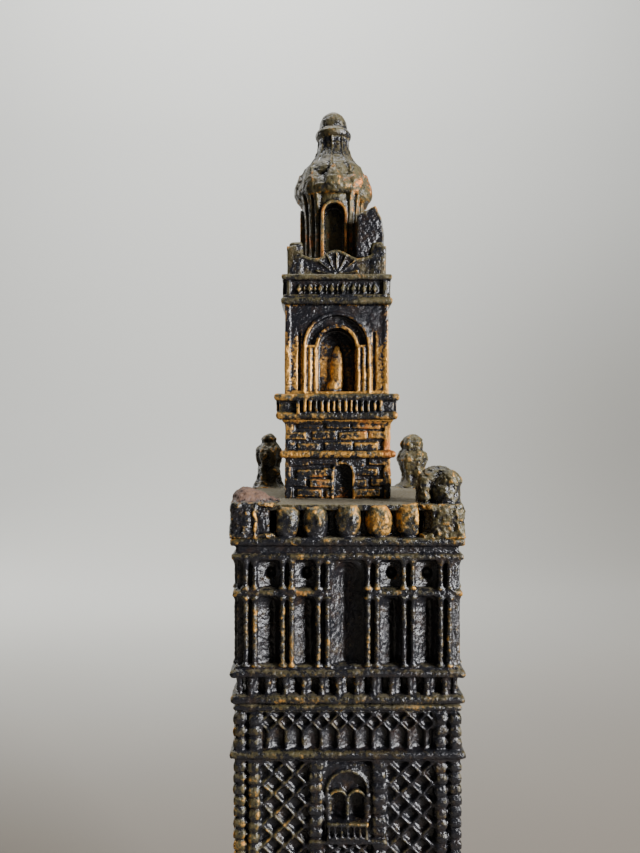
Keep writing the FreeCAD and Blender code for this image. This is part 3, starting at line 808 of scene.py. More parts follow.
def corner_quoins(wall):
    """Two columns of ribs at each end of the wall. The outer ones turn the corner."""
    front = FACE + 0.3
    runs = [(FOOT + 2.0, 34.4), (36.2, 60.0), (61.8, STRING - 1.2), (STRING + 0.6, SHAFT_HIGH.z - 0.4)]
    for z0, z1 in runs:
        bead_column(wall, "quoin", 0, -FACE + 1.65, front, z0, z1, 5, left_open=True)
        bead_column(wall, "quoin", FACE - 1.65, 0, front, z0, z1, 6, right_open=True)
        bead_column(wall, "quoin", -FACE + 1.85, -QUOIN_X, front + 0.1, z0 + 0.2, z1, 7)
        bead_column(wall, "quoin", QUOIN_X, FACE - 1.85, front + 0.1, z0 + 0.2, z1, 8)


def arcade(wall):
    """The blind arcade under the belfry: little columns that fork and cross above."""
    z0, pitch, half = STRING + 0.6, 2.65, 12.9
    motif = Mould()
    motif.post(0, 0, 0, 2.9, 0.42, sides=8)
    motif.loft([[(0.1, -0.25, z), (1.35, 0.42, z), (0.1, 0.42, z)] for z in (0.1, 3.1)])
    columns = grow(motif.object("arcade_column"), ROWS, Columns=10, Pitch=pitch, Jitter=0.08, Seed=8)
    wall.take(columns, (0, -(PANEL + 0.35), z0))
    lattice(wall, "arcade_ribs", (0, -(PANEL + 0.1), z0 + 2.7), Ribs=10, Pitch=pitch, Height=3.2, Wave=5.2,
            Width=0.30, Depth=0.75)
    wall.box(-QUOIN_X, -half, -(FACE - 0.2), -BACK, z0, SHAFT_HIGH.z)
    wall.box(half, QUOIN_X, -(FACE - 0.2), -BACK, z0, SHAFT_HIGH.z)


def masonry(wall):
    """Plain blocks round the foot of the shaft."""
    motif = Mould()
    motif.box(-2.05, 2.05, -0.55, 0.4, -1.0, 1.0)
    for side in (-1, 1):
        blocks = grow(motif.object("ashlar"), ROWS, Columns=2, Courses=10, Pitch=4.4, Rise=2.2, Stagger=0.5,
                      Jitter=0.07, Vary=0.05, Half=4.7, Seed=12 + side)
        wall.take(blocks, (side * (QUOIN_X + STRIP_X) / 2, -(FACE - 0.55), FOOT + 3.4))


def four_walls(master, node, material):
    """Puts a copy of one cast wall on each side of the tower."""
    for quarter, side in enumerate(("front", "right", "back", "left")):
        copy = copy_of(master, f"cast_{node}_{side}")
        finish(copy, f"{node}_{side}", material, quarter)
    bpy.data.objects.remove(master)


wall = shaft_wall()
corner_quoins(wall)
arcade(wall)
masonry(wall)
master = cast("cast_shaft_wall", wall, 0.17, 138000, wobble=0.25, grain=0.22, seed=1.0)
four_walls(master, "shaft_wall", WALL_FINISH)

# %% [markdown]
# ## The belfry
#
# The belfry's relief is the deepest on the model. Four niches and a taller one in the middle are cut deep
# with a slanting chisel, so one jamb of each faces the light and shines while the other stays black. Slim
# columns in pairs stand between them.

# %% Sizes of the belfry's relief
BELFRY_LOW, _ = node_box("belfry_wall_front")
B_FACE = MOULDING - 1.1
B_BACK = B_FACE - 3.7
PAIRS = [3.05, 4.45, 8.5, 9.85, 14.05, 15.4]        # the columns, outward from the middle
NICHES = [6.48, 11.95]                              # the middles of the side niches
MID_HALF = 2.9                                      # half width of the tall niche
STAGES = {"balustrade": (103.9, 106.6), "niches": (108.2, 118.8), "row": (119.9, 124.3),
          "parapet": (127.7, 131.7)}


def hollow(cuts, x, half, depth, z0, z1, head, crease):
    """A niche whose two splayed jambs meet in a crease, under a pointed hood."""
    rings = []
    for z, part in ((z0, 1.0), (z1, 1.0), (z1 + head * 0.6, 0.8), (z1 + head, 0.35)):
        left, right, floor = x - half * part, x + half * part, -B_FACE + depth * part
        ring = [(left, -B_FACE - 1.5), (right, -B_FACE - 1.5), (right, -B_FACE),
                (x + (crease + 0.15) * part, floor), (x + (crease - 0.15) * part, floor), (left, -B_FACE)]
        rings.append([(px, py, z) for px, py in ring])
    cuts.loft(rings)


def belfry_wall():
    body, cuts = Mould(), Mould()
    body.bar(flat(B_FACE, BELFRY_LOW.z, 127.7, B_BACK))
    z0, z1 = STAGES["niches"]
    for x in NICHES:
        for side in (-x, x):
            hollow(cuts, side, 2.0, 1.5, z0, z1 - 1.8, 1.5, 0.8)
            r0, r1 = STAGES["row"]
            hollow(cuts, side, 1.85, 0.95, r0 + 0.1, r1 - 0.5, 0.4, 0.35)
            cuts.egg(side + 0.25, -B_FACE + 0.7, (r0 + r1) / 2, 0.85, 1.3, 0.95)
    hollow(cuts, 0, MID_HALF - 0.15, 1.9, z0, 121.4, 2.5, -0.5)
    for left, right in zip(PAIRS[::2], PAIRS[1::2]):
        for side in (-1, 1):
            middle = side * (left + right) / 2
            for a, b in (STAGES["niches"], STAGES["row"]):
                cuts.box(middle - 0.3, middle + 0.3, -B_FACE - 1, -B_FACE + 0.9, a, b)
    b0, b1 = STAGES["balustrade"]
    cuts.box(-16.0, 16.0, -B_FACE - 1, -B_FACE + 1.1, b0, b1)
    return carve(body, cuts)


wall = belfry_wall()
print("belfry body:", len(wall.faces), "faces")

# %% Columns, mouldings and balusters of the belfry
def column(wall, x, z0, z1, radius=0.42):
    """A slim column with a base and a capital."""
    y = -B_FACE - 0.22
    wall.post(x, y, z0, z1, radius)
    wall.turned([(radius + 0.28, z0), (radius + 0.22, z0 + 0.35), (radius, z0 + 0.6)], x, y, 10)
    wall.turned([(radius, z1 - 0.9), (radius + 0.30, z1 - 0.25), (radius + 0.32, z1)], x, y, 10)


for x in PAIRS:
    for side in (-x, x):
        column(wall, side, *STAGES["niches"])
        column(wall, side, *STAGES["row"], radius=0.40)
for z0, z1, inset in ((102.7, 103.9, 0.1), (106.7, 107.8, 0.0), (124.3, 125.3, 0.2), (126.5, 127.7, 0.05)):
    wall.bar(roll(MOULDING - inset, z0, z1, B_BACK + 0.5))
wall.bar(flat(B_FACE + 0.35, 107.8, 108.3, B_BACK + 0.5))
wall.bar(flat(B_FACE + 0.25, 125.2, 126.6, B_BACK + 0.5))
wall.bar(roll(MOULDING - 0.4, 118.8, 119.8, B_BACK + 0.5), None, -MID_HALF)
wall.bar(roll(MOULDING - 0.4, 118.8, 119.8, B_BACK + 0.5), MID_HALF, None)
motif = Mould()
motif.turned([(0.62, -1.45), (0.55, -1.0), (0.40, -0.5), (0.55, 0.3), (0.50, 0.8), (0.62, 1.45)], sides=10)
motif.loft([[(0.1, -0.1, z), (1.45, 0.62, z), (0.1, 0.62, z)] for z in (-1.4, 1.4)])
row = grow(motif.object("baluster"), ROWS, Columns=12, Pitch=2.68, Jitter=0.10, Tilt=0.04, Vary=0.08, Seed=21)
wall.take(row, (0, -B_FACE + 0.15, sum(STAGES["balustrade"]) / 2))
print("belfry trims:", len(wall.faces), "faces")

# %% The parapet's row of bulbs
P0, P1 = STAGES["parapet"]
SEAT = 10.75
wall.bar(flat(B_FACE - 1.4, P0 - 0.5, P1, B_BACK), -SEAT, SEAT)
motif = Mould()
motif.loft([rounded(r, z, x, 0, 2.3, 20) for z, r, x in
            ((-2.5, 1.2, 0), (-1.7, 1.75, 0), (-0.4, 2.05, 0), (0.9, 2.1, 0.05), (2.0, 1.9, 0.1),
             (2.8, 1.5, 0.1))])
motif.egg(0.75, -1.0, 0.5, 0.85, 1.2, 1.8)
motif.egg(-0.9, -0.8, -0.4, 0.8, 1.2, 1.5)
row = grow(motif.object("bulb"), ROWS, Columns=5, Pitch=4.75, Jitter=0.22, Tilt=0.10, Vary=0.10,
           Half=SEAT + 0.05, Seed=30)
wall.take(row, (0, -B_FACE + 1.1, (P0 + P1) / 2 + 0.1))
master = cast("cast_belfry_wall", wall, 0.16, 110000, wobble=0.3, grain=0.30, seed=3.0)
four_walls(master, "belfry_wall", BELFRY_FINISH)

# %% [markdown]
# ## The corner pinnacles
#
# Each corner of the parapet has a post, and each post had a jar on it. The two at the back are still whole.
# The front right one is worn to a double lump, and the front left one has snapped off and left a scar.

# %% Posts, jars and stumps
POST = 3.55
POST_AT = SEAT + POST


def corner_post(sx, sy, top, pillar=2.35):
    """A pillar in the outer corner of the square seat, with a lower block behind its two inner faces."""
    mould = Mould()
    cx, cy = sx * POST_AT, sy * POST_AT
    px, py = sx * (POST_AT + POST - pillar), sy * (POST_AT + POST - pillar)
    heights = ((P0, 0.0), (P0 + 0.8, 0.05), (P0 + 2.4, -0.15), (top - 0.8, 0.05), (top, -0.25))
    mould.loft([rounded(pillar + h, z, px, py) for z, h in heights])
    mould.loft([rounded(POST - 0.05, z, cx, cy) for z in (P0, P0 + 0.7)])
    mould.loft([rounded(POST - 1.0, z, cx - sx * 0.2, cy - sy * 0.2) for z in (P0, top - 0.4)])
    mould.loft([rounded(POST - 0.1, z, cx, cy) for z in (top - 0.7, top - 0.05)])
    return mould, cx, cy


JAR_RIGHT = [(3.2, 0.0), (3.0, 0.6), (2.2, 1.2), (1.9, 2.2), (2.1, 3.4), (2.6, 4.8), (2.9, 5.8), (2.8, 6.8),
             (2.3, 7.4), (1.9, 7.7), (2.1, 8.1), (2.15, 9.0), (1.7, 9.9), (0.6, 10.6)]
JAR_LEFT = [(3.2, 0.0), (2.9, 0.6), (2.4, 1.5), (2.2, 3.0), (2.0, 4.5), (2.25, 5.4), (2.5, 6.6), (2.3, 7.8),
            (1.5, 8.6), (1.2, 9.2), (1.35, 9.8), (0.9, 10.5), (0.3, 10.9)]
DECK_LOW, DECK_HIGH = node_box("deck_plate")
DECK = DECK_HIGH.z


def lumps(mould, cx, cy, table):
    """Eggs over a corner seat. Each is an offset and three radii."""
    for x, y, z, rx, ry, rz in table:
        mould.egg(cx + x, cy + y, DECK + z, rx, ry, rz)


for name, sx, profile, seed in (("back_left", -1, JAR_LEFT, 31.0), ("back_right", 1, JAR_RIGHT, 33.0)):
    mould, cx, cy = corner_post(sx, 1, DECK)
    mould.turned([(r, DECK - 0.2 + z) for r, z in profile], cx, cy, 36, lobes=6, depth=0.09)
    mould.egg(cx - 0.9, cy - 1.2, DECK + 6.2, 1.2, 1.5, 1.3)
    mould.egg(cx + 1.0, cy - 1.0, DECK + 3.0, 1.3, 1.6, 1.6)
    jar = cast("cast_pinnacle_" + name, mould, 0.16, 30000, wobble=1.3, grain=0.5, seed=seed)
    finish(jar, "pinnacle_" + name, TOP_FINISH)

mould, cx, cy = corner_post(1, -1, DECK, pillar=2.7)
lumps(mould, cx, cy, ((-2.3, 0.3, 1.0, 1.3, 2.0, 3.6), (-1.3, 0.6, 3.4, 1.7, 1.9, 1.6),
                      (0.9, 0.2, 1.2, 2.5, 2.8, 3.6), (1.5, -0.6, 3.2, 1.9, 1.9, 1.9),
                      (-0.6, 0.9, 2.6, 2.3, 2.0, 2.9), (0.4, 0.9, 4.0, 2.0, 1.9, 1.6),
                      (1.9, 0.5, -0.6, 1.6, 2.4, 2.2)))
stump = cast("cast_pinnacle_front_right", mould, 0.16, 40000, wobble=1.6, grain=0.7, seed=35.0)
finish(stump, "pinnacle_front_right", TOP_FINISH)

mould, cx, cy = corner_post(-1, -1, DECK + 0.4, pillar=1.95)
mould.post(cx + 0.35, cy - 3.2, P0, DECK, 0.42)
lumps(mould, cx, cy, ((-1.4, 0.2, 0.5, 2.0, 3.0, 1.9), (-0.2, 0.6, 0.4, 2.6, 2.6, 1.5),
                      (1.6, 1.2, 0.1, 2.2, 2.2, 0.9)))
scar = cast("cast_pinnacle_front_left", mould, 0.16, 36000, wobble=0.9, grain=0.8, seed=37.0)
finish(scar, "pinnacle_front_left", SCAR_FINISH)

# %% [markdown]
# ## Terrace, string course and plinth
#
# Three plain plates. The terrace is a dusty floor, the string course shows only
# its worn edge, and the plinth is a stepped base with rolled edges.

# %% The plates
plate = Mould()
plate.block(DECK_HIGH.x - 0.05, DECK - 1.0, DECK)
plate.block(B_BACK - 0.2, DECK_LOW.z, DECK - 0.5)
deck = cast("cast_deck", plate, 0.22, 24000, wobble=0.35, grain=0.10, seed=41.0)
finish(deck, "deck_plate", DECK_FINISH)

PLATE_LOW, PLATE_HIGH = node_box("string_plate")
plate = Mould()
plate.band(roll(PLATE_HIGH.x, PLATE_HIGH.z - 0.9, PLATE_HIGH.z, 6.0))
plate.band(flat(BACK - 0.1, PLATE_LOW.z, PLATE_HIGH.z - 0.5, 6.0))
course = cast("cast_string_plate", plate, 0.18, 26000, wobble=0.2, grain=0.08, seed=43.0)
finish(course, "string_plate", BELFRY_FINISH)

_, PLINTH_HIGH = node_box("plinth")
plate = Mould()
RIM = PLINTH_HIGH.x
plate.block(RIM - 0.2, 1.0, 2.2)
plate.band(roll(RIM, 1.0, 3.0, 12.0))
plate.band([(12.0, 2.6), (12.0, 5.0), (RIM - 1.6, 5.0), (RIM - 0.9, 4.1), (RIM - 0.2, 2.6)])
plate.band(roll(RIM - 2.8, 5.0, 7.2, 12.0))
plate.band([(12.0, 6.8), (12.0, 8.6), (RIM - 4.4, 8.6), (RIM - 3.4, 7.8), (RIM - 3.0, 6.8)])
plate.band(roll(RIM - 4.4, 8.6, 10.0, 12.0))
plate.block(12.5, 2.0, 9.9)
base = cast("cast_plinth", plate, 0.26, 50000, wobble=0.22, grain=0.08, seed=45.0)
finish(base, "plinth", WALL_FINISH)

# %% [markdown]
# ## The brick stage and its cornice
#
# A block of rough little bricks in two lifts, with a low arched door in front and a roll moulding between the
# lifts. The bricks come from the rows tree: half-bond stagger, and a shake and a change of size for each.
# Bricks that would run past a corner are clamped to it. The cornice above has a row of dentils.

# %% The brick stage
CLOCK_HALF = CLOCK_HIGH.x - UPPER_X - 0.85
BRICK_X = UPPER_X + 0.15
BRICK_LEFT, BRICK_TOP = BRICK_X - CLOCK_HALF, 145.7
LIFTS = [(DECK, 139.6, 4), (140.4, BRICK_TOP, 3)]    # bottom, top and courses of each lift


def bricks(face, lift, seed):
    """The brickwork of one lift on the front face."""
    z0, z1, courses = lift
    rise = (z1 - z0) / courses
    motif = Mould()
    motif.loft([[(x * half, y, z * rise * tall) for x, z in ((-1, -1), (1, -1), (1, 1), (-1, 1))]
                for y, half, tall in ((0.6, 2.15, 0.43), (-0.35, 2.0, 0.32))])
    grown = grow(motif.object("brick"), ROWS, Columns=5, Courses=courses, Pitch=4.75, Rise=rise, Stagger=0.5,
                 Jitter=0.16, Tilt=0.03, Vary=0.14, Half=CLOCK_HALF + 0.1, Seed=seed)
    face.take(grown, (BRICK_X, -CLOCK_HALF + 0.25, z0 + rise / 2))


brick = Mould()
for number, lift in enumerate(LIFTS):
    bricks(brick, lift, 50 + number)
brick.box(BRICK_LEFT - 0.1, BRICK_LEFT + 0.9, -CLOCK_HALF - 0.1, -CLOCK_HALF + 0.9, DECK, BRICK_TOP)
brick.all_round(BRICK_X)
body, cuts = Mould(), Mould()
body.block(CLOCK_HALF - 0.35, DECK, CLOCK_HIGH.z, BRICK_X)
body.add(brick.verts, brick.faces)
cuts.add(*arch_shape(BRICK_X + 0.85, 1.5, DECK - 1, 136.9, CLOCK_HALF - 1.5, CLOCK_HALF + 1))
stage = carve(body, cuts)
stage.arch(BRICK_X + 0.85, 1.75, 136.9, CLOCK_HALF + 0.15, 0.8, 0.45, foot=DECK)
stage.band(roll(CLOCK_HALF + 0.95, 139.4, 140.6, CLOCK_HALF - 1.5), BRICK_X)
stage.band([(CLOCK_HALF - 1, 145.0), (CLOCK_HALF - 1, BRICK_TOP), (CLOCK_HALF + 0.7, BRICK_TOP),
            (CLOCK_HALF + 0.2, 145.0)], BRICK_X)
piece = cast("cast_brick_stage", stage, 0.14, 110000, wobble=0.25, grain=0.18, seed=51.0)
finish(piece, "clock_stage", BRICK_FINISH)

# %% The cornice with its dentils
_, CORNICE_HIGH = node_box("stage_cornice")
CORNICE = CORNICE_HIGH.x - UPPER_X
C0, C1 = BRICK_TOP, CORNICE_HIGH.z
face = Mould()
motif = Mould()
motif.box(-0.24, 0.24, -0.45, 0.45, -0.85, 0.85)
row = grow(motif.object("dentil"), ROWS, Columns=14, Pitch=0.95, Jitter=0.05, Vary=0.10, Seed=60)
face.take(row, (UPPER_X + 0.9, -CORNICE + 0.55, (C0 + C1) / 2 + 0.1))
face.box(UPPER_X - 6.6, UPPER_X - 6.1, -CORNICE + 0.1, -CORNICE + 1.0, C0 + 1.0, C1 - 0.8)
face.all_round(UPPER_X)
face.block(CORNICE - 0.85, C0 + 0.3, C1 - 0.3, UPPER_X)
face.band(roll(CORNICE - 0.25, C0, C0 + 1.25, 5.0), UPPER_X)
face.band(roll(CORNICE, C1 - 1.15, C1, 5.0), UPPER_X)
face.block(CORNICE - 1.4, C0, C1, UPPER_X)
piece = cast("cast_cornice", face, 0.14, 80000, wobble=0.4, grain=0.16, seed=61.0)
finish(piece, "stage_cornice", CORNICE_FINISH)

# %% [markdown]
# ## The arched stage and the frieze
#
# A deep round-headed niche in each face, framed by two archivolts that stand on bundles of thin shafts. It has
# been handled most, and is nearly bare brass. The block above it carries a framed panel. The relief in the
# panel is a plain row of lozenges and darts, made by the rows tree.

# %% The arched stage
_, ARCH_HIGH = node_box("arch_stage")
A_HALF = ARCH_HIGH.x - UPPER_X
A0, A1 = CORNICE_HIGH.z, ARCH_HIGH.z
SPRING = A0 + 7.9
face, cuts = Mould(), Mould()
for x in (-5.35, 5.35):
    face.post(UPPER_X + x, -A_HALF + 0.05, A0, SPRING, 0.40, sides=8)
for x in (3.55, 4.45):
    for side in (-x, x):
        face.post(UPPER_X + side, -A_HALF + 0.25, A0, SPRING, 0.36, sides=8)
face.arch(UPPER_X, 3.30, SPRING, A_HALF + 0.05, 1.6, 0.55)
face.arch(UPPER_X, 5.3, SPRING, A_HALF + 0.30, 1.4, 0.50)
for x in (-4.4, 4.4):
    face.box(UPPER_X + x - 1.25, UPPER_X + x + 1.25, -A_HALF - 0.1, -A_HALF + 1, SPRING - 0.15, SPRING + 0.2)
face.box(UPPER_X - A_HALF - 0.1, UPPER_X - A_HALF + 0.7, -A_HALF - 0.1, -A_HALF + 0.7, A0, A1)
face.egg(UPPER_X + 0.1, -A_HALF + 2.7, A0 + 3.6, 1.2, 0.9, 4.8)
face.egg(UPPER_X - 0.6, -A_HALF + 2.3, A0 + 1.2, 1.1, 0.9, 1.3)
face.all_round(UPPER_X)
body = Mould()
body.block(A_HALF - 0.05, A0, A1, UPPER_X)
cuts.add(*arch_shape(UPPER_X, 5.15, A0 - 1, SPRING, A_HALF - 0.85, A_HALF + 1))
cuts.add(*arch_shape(UPPER_X, 3.05, A0 - 1.2, SPRING + 0.01, A_HALF - 2.9, A_HALF + 1.2))
for side in (-1, 1):
    x = UPPER_X + side * 6.15
    cuts.box(x - 0.25, x + 0.25, -A_HALF - 1, -A_HALF + 0.5, A0 + 0.6, A1 - 4.5)
cuts.all_round(UPPER_X)
stage = carve(body, cuts)
stage.add(face.verts, face.faces)
stage.block(A_HALF + 0.15, A0 - 0.1, A0 + 0.5, UPPER_X)
piece = cast("cast_arch_stage", stage, 0.13, 115000, wobble=0.25, grain=0.12, seed=71.0)
finish(piece, "arch_stage", ARCH_FINISH)

# %% The frieze block
_, FRIEZE_HIGH = node_box("frieze_block")
F_HALF = FRIEZE_HIGH.x - UPPER_X - 0.1
F0, F1 = A1, FRIEZE_HIGH.z
face = Mould()
for number, (turn, wide, tall) in enumerate(((0, 0.88, 1.25), (1, 0.28, 1.05))):
    motif = Mould()
    motif.loft([[(x * wide, 0.3, z * tall) for x, z in ((-1, 0), (0, -1), (1, 0), (0, 1))],
                [(x * wide * 0.40, -0.70, z * tall * 0.40) for x, z in ((-1, 0), (0, -1), (1, 0), (0, 1))]])
    row = grow(motif.object("lozenge"), ROWS, Columns=8 - turn, Pitch=1.78, Jitter=0.06, Vary=0.10,
               Seed=80 + number)
    face.take(row, (UPPER_X, -F_HALF + 0.75, (F0 + F1) / 2 + 0.05))
for side in (-1, 1):
    x = UPPER_X + side * 7.9
    face.box(x - 0.3, x + 0.3, -F_HALF + 0.2, -F_HALF + 1.2, F0 + 0.9, F1 - 0.7)
face.all_round(UPPER_X)
face.block(F_HALF - 0.75, F0, F1 - 0.2, UPPER_X)
face.band(roll(F_HALF + 0.1, F0, F0 + 1.2, 5.0), UPPER_X)
face.band(roll(F_HALF - 0.25, F0 + 1.1, F0 + 1.7, 5.0), UPPER_X)
face.band(roll(F_HALF, F1 - 1.0, F1, 5.0), UPPER_X)
face.block(F_HALF - 1.3, F0, F1, UPPER_X)
piece = cast("cast_frieze", face, 0.13, 80000, wobble=0.3, grain=0.12, seed=81.0, soften=1)
finish(piece, "frieze_block", DARK_FINISH)

# %% [markdown]
# ## The crown
#
# A low scalloped parapet: in the middle of each side a fan-shaped shell, then a swag that sinks and climbs to a
# block at the corner. The ring tree opens the fan's ribs, and the swag follows a cosine.

# %% The crown's shells, swags and blocks
CROWN_LOW, CROWN_HIGH = node_box("crown_parapet")
K_HALF = CROWN_HIGH.x - UPPER_X
K0, K1 = CROWN_LOW.z, CROWN_HIGH.z
SHELL = 3.5


def swag_height(x):
    """Height of the crest at a distance x from the middle: a shell, a dip, and a climb to the corner."""
    dip = 1 - math.cos(min(1.0, abs(x) / 3.6) * math.pi)
    climb = max(0.0, (abs(x) - 3.6) / (K_HALF - 3.6)) ** 1.4
    return K0 + 4.1 - dip * 0.75 + climb * 2.1


face = Mould()
stations = [-K_HALF + 2 * K_HALF * k / 28 for k in range(29)]
face.loft([[(UPPER_X + x, -K_HALF + 0.2, K0), (UPPER_X + x, -K_HALF + 1.5, K0),
            (UPPER_X + x, -K_HALF + 1.5, swag_height(x)), (UPPER_X + x, -K_HALF + 0.2, swag_height(x))]
           for x in stations])
for a, b in zip(stations, stations[1:]):
    za, zb = swag_height(a), swag_height(b)
    face.loft([[(UPPER_X + x, -K_HALF - 0.05, z - 0.5), (UPPER_X + x, -K_HALF + 1.6, z - 0.5),
                (UPPER_X + x, -K_HALF + 1.6, z + 0.1), (UPPER_X + x, -K_HALF - 0.05, z + 0.1)]
               for x, z in ((a, za), (b, zb))])
motif = Mould()
motif.loft([[(r, -w, -0.4), (r, w, -0.4), (r, 0, h)] for r, w, h in ((0.5, 0.18, 0.35), (SHELL, 0.62, 0.8))])
fan = grow(motif.object("shell_rib"), RING, Count=7, Phase=math.radians(8), Step=math.radians(164 / 6))
face.take(fan, (UPPER_X, -K_HALF + 0.4, K0 + 0.1), stand=True)
face.loft([rounded(1.35, K0, UPPER_X - K_HALF + 1.35, -K_HALF + 1.35, 6),
           rounded(1.40, K0 + 3.0, UPPER_X - K_HALF + 1.35, -K_HALF + 1.35, 6),
           rounded(1.15, K1 - 0.3, UPPER_X - K_HALF + 1.45, -K_HALF + 1.45, 4),
           rounded(0.80, K1, UPPER_X - K_HALF + 1.45, -K_HALF + 1.45, 4)])
face.all_round(UPPER_X)
face.block(K_HALF - 0.6, K0, K0 + 1.6, UPPER_X)
piece = cast("cast_crown", face, 0.13, 90000, wobble=0.35, grain=0.16, seed=91.0)
finish(piece, "crown_parapet", DARK_FINISH)

# %% The last jar of the crown, leaning
JAR_LOW, JAR_HIGH = node_box("crown_jar")
jx, jy = (JAR_LOW.x + JAR_HIGH.x) / 2, (JAR_LOW.y + JAR_HIGH.y) / 2
lump = Mould()
JAR_TIP = JAR_HIGH.z
outline = [(-3.6, K1 - 2.6), (1.0, K1 - 2.6), (0.9, K1 + 1.0), (0.6, JAR_TIP - 2.2), (-0.4, JAR_TIP - 0.1),
           (-1.5, JAR_TIP - 0.7), (-3.4, JAR_TIP - 1.5)]
lump.loft([[(jx + x + slant, y, z) for x, z in outline] for y, slant in ((jy + 1.9, 0.3), (jy - 0.8, 0.0))])
piece = cast("cast_crown_jar", lump, 0.13, 22000, wobble=0.7, grain=0.25, seed=93.0)
finish(piece, "crown_jar", JAR_FINISH)

# %% [markdown]
# ## The lantern, its dome and the top ball
#
# Everything here turns about one upright axis, so the profiles are bodies of revolution, and the ring tree sets
# the pilasters and the dome's ribs. Four dark arches open between the pilasters, and the dome sweeps out to an
# eave of rounded leaves before it narrows to its ribbed bell.

# %% The lantern's drum
D_RADIUS = DRUM_HIGH.x - LANTERN_X
D0, D1 = K0, DRUM_HIGH.z
LAMP_SPRING = D1 - 3.6
body, cuts = Mould(), Mould()
body.turned([(D_RADIUS - 0.35, D0), (D_RADIUS - 0.35, D0 + 4.5), (D_RADIUS - 0.5, D0 + 5.2),
             (D_RADIUS - 0.35, D1)], LANTERN_X, 0, 40)
cuts.add(*arch_shape(LANTERN_X, 1.75, D0 + 3.5, LAMP_SPRING, D_RADIUS - 2.6, D_RADIUS + 1))
cuts.all_round(LANTERN_X)
drum = carve(body, cuts)
ring = Mould()
ring.arch(LANTERN_X, 1.95, LAMP_SPRING, D_RADIUS + 0.05, 0.9, 0.5, foot=D0 + 3)
ring.all_round(LANTERN_X)
drum.add(ring.verts, ring.faces)
motif = Mould()
motif.loft([[(r - 0.7, -w, z), (r, -w * 0.6, z), (r, w * 0.6, z), (r - 0.7, w, z)] for r, w, z in
            ((D_RADIUS - 0.2, 0.55, D0), (D_RADIUS - 0.2, 0.55, D1 - 5.0), (D_RADIUS + 0.1, 0.58, D1 - 1.6),
             (D_RADIUS + 0.5, 0.65, D1 - 0.2), (D_RADIUS + 0.8, 0.7, D1 + 1.0))])
for degrees in (31, 45, 59):
    drum.take(grow(motif.object("pilaster"), RING, Count=4, Phase=math.radians(degrees), Step=math.pi / 2),
              (LANTERN_X, 0, 0))
piece = cast("cast_lantern_drum", drum, 0.13, 90000, wobble=0.3, grain=0.14, seed=101.0)
finish(piece, "lantern_drum", DOME_FINISH)

# %% The dome
DOME_LOW, DOME_HIGH = node_box("lantern_dome")
EAVE = DOME_HIGH.x - LANTERN_X
Z = DOME_LOW.z
bell = [(EAVE - 0.9, Z - 0.1), (EAVE - 0.35, Z + 0.5), (EAVE - 0.2, Z + 1.1), (EAVE - 0.5, Z + 1.9),
        (EAVE - 1.2, Z + 2.9), (EAVE - 1.35, Z + 4.2), (EAVE - 2.0, Z + 5.5), (EAVE - 3.0, Z + 6.4), (EAVE - 3.75, Z + 7.6),
        (EAVE - 4.2, Z + 8.8), (EAVE - 4.4, Z + 10.2), (EAVE - 4.3, DOME_HIGH.z)]
dome = Mould()
dome.turned(bell, LANTERN_X, 0, 40)
rib = Mould()
rib.loft([[(r - 0.5, -w, z), (r + 0.30, 0, z + 0.05), (r - 0.5, w, z)] for (r, z), w in
          zip(bell[3:], (0.95, 0.85, 0.80, 0.75, 0.62, 0.55, 0.50, 0.48, 0.48))])
dome.take(grow(rib.object("dome_rib"), RING, Count=10, Phase=0.2, Step=math.radians(36)), (LANTERN_X, 0, 0))
leaf = Mould()
leaf.loft([[(r - 0.9, -w, z), (r, -w * 0.55, z), (r + 0.12, 0, z), (r, w * 0.55, z), (r - 0.9, w, z)]
           for r, w, z in ((EAVE - 0.75, 1.7, Z - 0.2), (EAVE - 0.15, 2.0, Z + 1.0), (EAVE - 0.15, 1.8, Z + 2.2),
                           (EAVE - 0.65, 1.3, Z + 3.4), (EAVE - 1.05, 0.35, Z + 4.6))])
dome.take(grow(leaf.object("eave_leaf"), RING, Count=9, Phase=0.5, Step=math.radians(40)), (LANTERN_X, 0, 0))
dome.egg(LANTERN_X + 4.9, -3.2, Z + 0.4, 1.3, 1.3, 1.5)
dome.egg(LANTERN_X + 4.2, -4.6, Z + 1.8, 1.0, 1.0, 1.2)
piece = cast("cast_dome", dome, 0.13, 80000, wobble=0.7, grain=0.25, seed=111.0)
finish(piece, "lantern_dome", DOME_FINISH)

# %% The top ball
_, BALL_HIGH = node_box("top_ball")
Z, TIP = DOME_HIGH.z, BALL_HIGH.z
ball = Mould()
ball.turned([(2.7, Z - 0.1), (3.1, Z + 0.3), (3.2, Z + 0.9), (2.9, Z + 1.4), (2.45, Z + 1.7), (2.5, Z + 2.2),
             (2.35, Z + 3.1), (1.9, Z + 4.0), (1.2, Z + 4.6), (0.3, TIP - 0.05)], LANTERN_X, 0, 24)
piece = cast("cast_top_ball", ball, 0.13, 20000, wobble=0.35, grain=0.14, seed=121.0)
finish(piece, "top_ball", TOP_FINISH)

# %% [markdown]
# ## Felt, rod and solder
#
# The felt pad is a soft sheet glued under the plinth. The rod, nut, washer and solder beads are the frame's own
# shapes. They are hidden inside, but each gets its own finish: drawn zinc-plated steel and dull solder.

# %% The felt pad
_, FELT_HIGH = node_box("felt_pad")


def felt_finish():
    material, net, shader, place = start_material("green_felt")
    tufts = net.noise(place, 3.5, 6.0, 1.0)
    clumps = net.noise(place, 0.4, 3.0, 2.0)
    colour = net.mix(tufts, (0.012, 0.045, 0.025, 1), (0.05, 0.15, 0.085, 1))
    colour = net.mix(clumps * 0.5, colour, (0.03, 0.06, 0.04, 1))
    bump = net.add("ShaderNodeBump", {}, {"Strength": 0.8, "Distance": 0.0003, "Height": tufts})
    for key, value in (("Base Color", colour), ("Roughness", 0.95), ("Normal", bump)):
        net.plug(shader.inputs[key], value)
    return material


